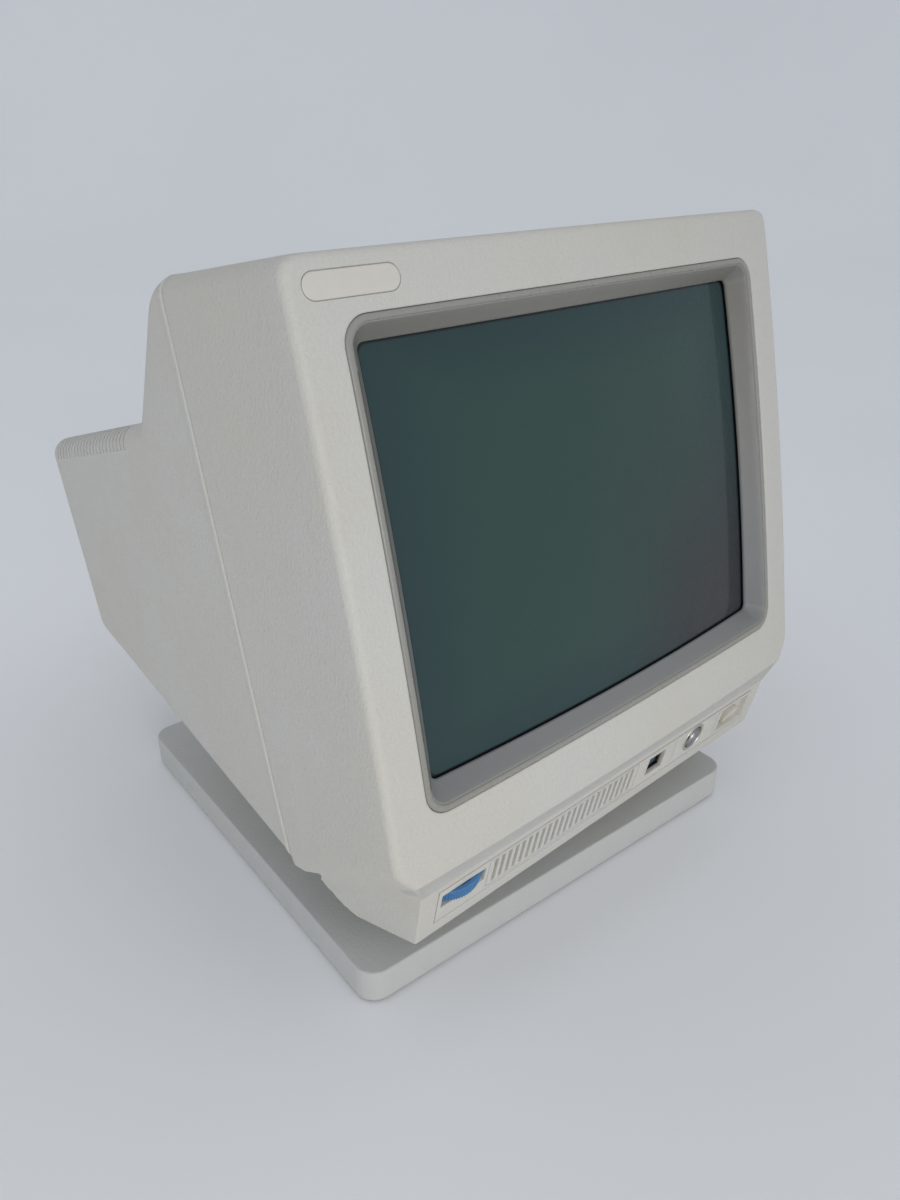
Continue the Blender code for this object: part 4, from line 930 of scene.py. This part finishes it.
def make_rocker():
    """Rocker: a low body in the well with a standing ridge to push."""
    at = TO_STRIP @ Matrix.Translation((0.114, 0.0065, -0.0151))
    back = [(2.5, -7.2), (4.5, 0), (2.5, 7.2)]
    body = [(-3.4, 7.2), (-2.2, 4.2), (-1.0, 1.4), (-0.6, -1.5), (-0.4, -4.4), (-1.0, -7.2)] + back
    ridge = [(-9.0, 7.1), (-7.9, 4.2), (-6.9, 1.4), (-5.9, -1.5), (-5.2, -4.4), (-4.9, -7.1),
             (1.5, -7.1), (3.0, 0), (1.5, 7.1)]
    shapes = []
    for outline, half in ((body, 6.0), (ridge, 2.7)):
        shapes.append(loft([[Vector((x, y, z)) * MM for y, z in outline] for x in (-half, half)]))
    paddle = object_from(shapes[0], "rocker_key", at, "cream", "power_key", ("power_rocker",))
    boolean(paddle, object_from(shapes[1], "tool", at, None), "UNION")
    bevelled(paddle, 0.45 * MM, 3, 25)


# ------------------------------------------------------------------ stand

def base_plan(grow):
    deep = BASE_HALF_D + grow
    outline = rounded_rect(BASE_HALF_W + grow, deep, -deep, BASE_CORNER + grow, 12, 4)
    return [(x + BASE_CENTRE[0], y + BASE_CENTRE[1]) for x, y in outline]


def make_base():
    rows = [(-1.6, 1.5), (-0.9, 1.6), (-0.4, 2.0), (-0.1, 2.8), (0.0, 4.5), (0.0, 20.5), (-0.12, 20.95),
            (-0.4, 21.3), (-0.85, 21.48), (-1.4, 21.5)]
    rings = [[Vector((x, y, z)) * MM for x, y in base_plan(grow)] for grow, z in rows]
    plate = object_from(loft(rings), "stand_plate", FLAT, "base", "base", ("base_plate",))
    pocket = loft([[Vector((x, y, z)) * MM for x, y in base_plan(-4)] for z in (0, 18.3)])
    boolean(plate, object_from(pocket, "tool", FLAT, None))
    bore = upright(turned([(14.5, -30), (14.5, 30)], 48))
    boolean(plate, object_from(bore, "tool", FLAT, None))


make_bezel()
make_badge()
make_surround()
make_tube()
make_cover()
make_panel()
make_base()


# ------------------------------------------------------------------ finishes on the CAD pieces that stay

FINISH = {
    "case": ("turntable", "tilt_runner"),
    "dark": ("tube_base", "power_inlet", "keyboard_port", "line_port", "flyback_transformer",
             "main_capacitor", "speaker"),
    "panel": ("power_switch",),
    "steel": ("yoke_clamp", "electron_gun", *(f"case_screw_{k}" for k in range(1, 5)), "heat_sink",
              "swivel_bolt"),
    "zinc": ("rim_band", *(f"tube_screw_{k}" for k in range(1, 5)), "chassis_tray", "logic_bracket",
             "brightness_pot", "contrast_pot", "base_pan", "swivel_washer"),
    "copper": ("deflection_yoke",),
    "board": ("neck_board", "main_board", "logic_board"),
    "rubber": ("anode_cap", "foot_front_left", "foot_front_right", "foot_rear_left", "foot_rear_right",
               "friction_pad_left", "friction_pad_right"),
    "red": ("eht_lead",),
    "iron": ("power_transformer",),
    "nylon": ("centring_rings", "tube_socket", "bearing_ring"),
}
for mat_name, nodes in FINISH.items():
    for node in nodes:
        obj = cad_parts[node]
        obj.data.materials.clear()
        obj.data.materials.append(MATS[mat_name])
for node, width in (("turntable", 0.6), ("tilt_runner", 0.8), ("power_inlet", 0.4), ("keyboard_port", 0.4),
                    ("line_port", 0.4)):
    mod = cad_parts[node].modifiers.new("bevel", "BEVEL")
    mod.width = width * MM
    mod.segments = 2
    mod.limit_method = "ANGLE"
    mod.angle_limit = radians(35)


# ------------------------------------------------------------------ studio

def make_floor():
    """Sheet of pale paper that curves up behind the terminal, with a painted shadow darkening it near the
    stand.
    """
    n = Nodes("paper_floor")
    split = n.new("ShaderNodeSeparateXYZ")
    n.link(n.coords.outputs["Object"], split.inputs[0])
    x, y = split.outputs[0], split.outputs[1]
    away = n.length(x, y)
    # painted shadow: the paper is darker within about 0.18 to 0.46 m of the middle, under the terminal
    painted_shadow_sheet = n.mix(n.ramp(away, 0.18, 0.46), shade(FLOOR_COLOUR, 0.91), FLOOR_COLOUR)
    patches = n.ramp(n.noise(1.6, 2, 0.5), 0.35, 0.7, 0.0, 0.5)
    n.colour(n.mix(patches, painted_shadow_sheet, shade(FLOOR_COLOUR, 0.97)))
    n.set(rough=0.9, spec=0.1)
    n.bump(n.noise(2.5, 3, 0.5), 0.12, 0.02)
    profile = [(0.001, 0), (0.6, 0), (1.4, 0), (2.6, 0)]
    for k in range(1, 13):
        a = radians(90 * k / 12)
        profile.append((2.6 + 1.2 * sin(a), 1.2 - 1.2 * cos(a)))
    profile.append((3.8, 1.9))
    around = [2 * pi * i / 96 for i in range(96)]
    bm = bmesh.new()
    rows = [[bm.verts.new((r * cos(a), r * sin(a), z)) for a in around] for r, z in profile]
    for low, high in zip(rows, rows[1:]):
        for i in range(96):
            bm.faces.new((low[i], low[(i + 1) % 96], high[(i + 1) % 96], high[i]))
    bm.faces.new(rows[0])
    floor = object_from(bm, "studio_floor", FLAT, None)
    floor.data.materials.append(n.mat)


def area_light(name, location, target, size, power, colour):
    light = bpy.data.lights.new(name, "AREA")
    light.shape = "RECTANGLE"
    light.size, light.size_y = size
    light.energy = power
    light.color = colour
    light.spread = radians(50)
    obj = bpy.data.objects.new(name, light)
    bpy.context.scene.collection.objects.link(obj)
    obj.location = location
    direction = Vector(target) - Vector(location)
    obj.rotation_euler = direction.to_track_quat("-Z", "Y").to_euler()


make_floor()
area_light("key", (-0.56, -1.35, 0.38), (-0.1, -0.1, 0.16), (0.8, 0.5), 0.72, (1.0, 0.975, 0.94))

world = bpy.data.worlds.new("studio_world")
bpy.context.scene.world = world
world.use_nodes = True
world.node_tree.nodes["Background"].inputs["Color"].default_value = (0.90, 0.945, 1.0, 1)
world.node_tree.nodes["Background"].inputs["Strength"].default_value = 0.61

camera = bpy.data.cameras.new("camera")
camera.sensor_fit = "HORIZONTAL"
camera.sensor_width = 24
camera.lens = 24.931
camera.clip_start = 0.01
view = bpy.data.objects.new("camera", camera)
bpy.context.scene.collection.objects.link(view)
view.location = (-0.32142, -0.42399, 0.40401)
view.rotation_euler = (radians(62.5501), radians(-0.6129), radians(-38.3638))
bpy.context.scene.camera = view
bpy.context.scene.view_settings.view_transform = "Standard"
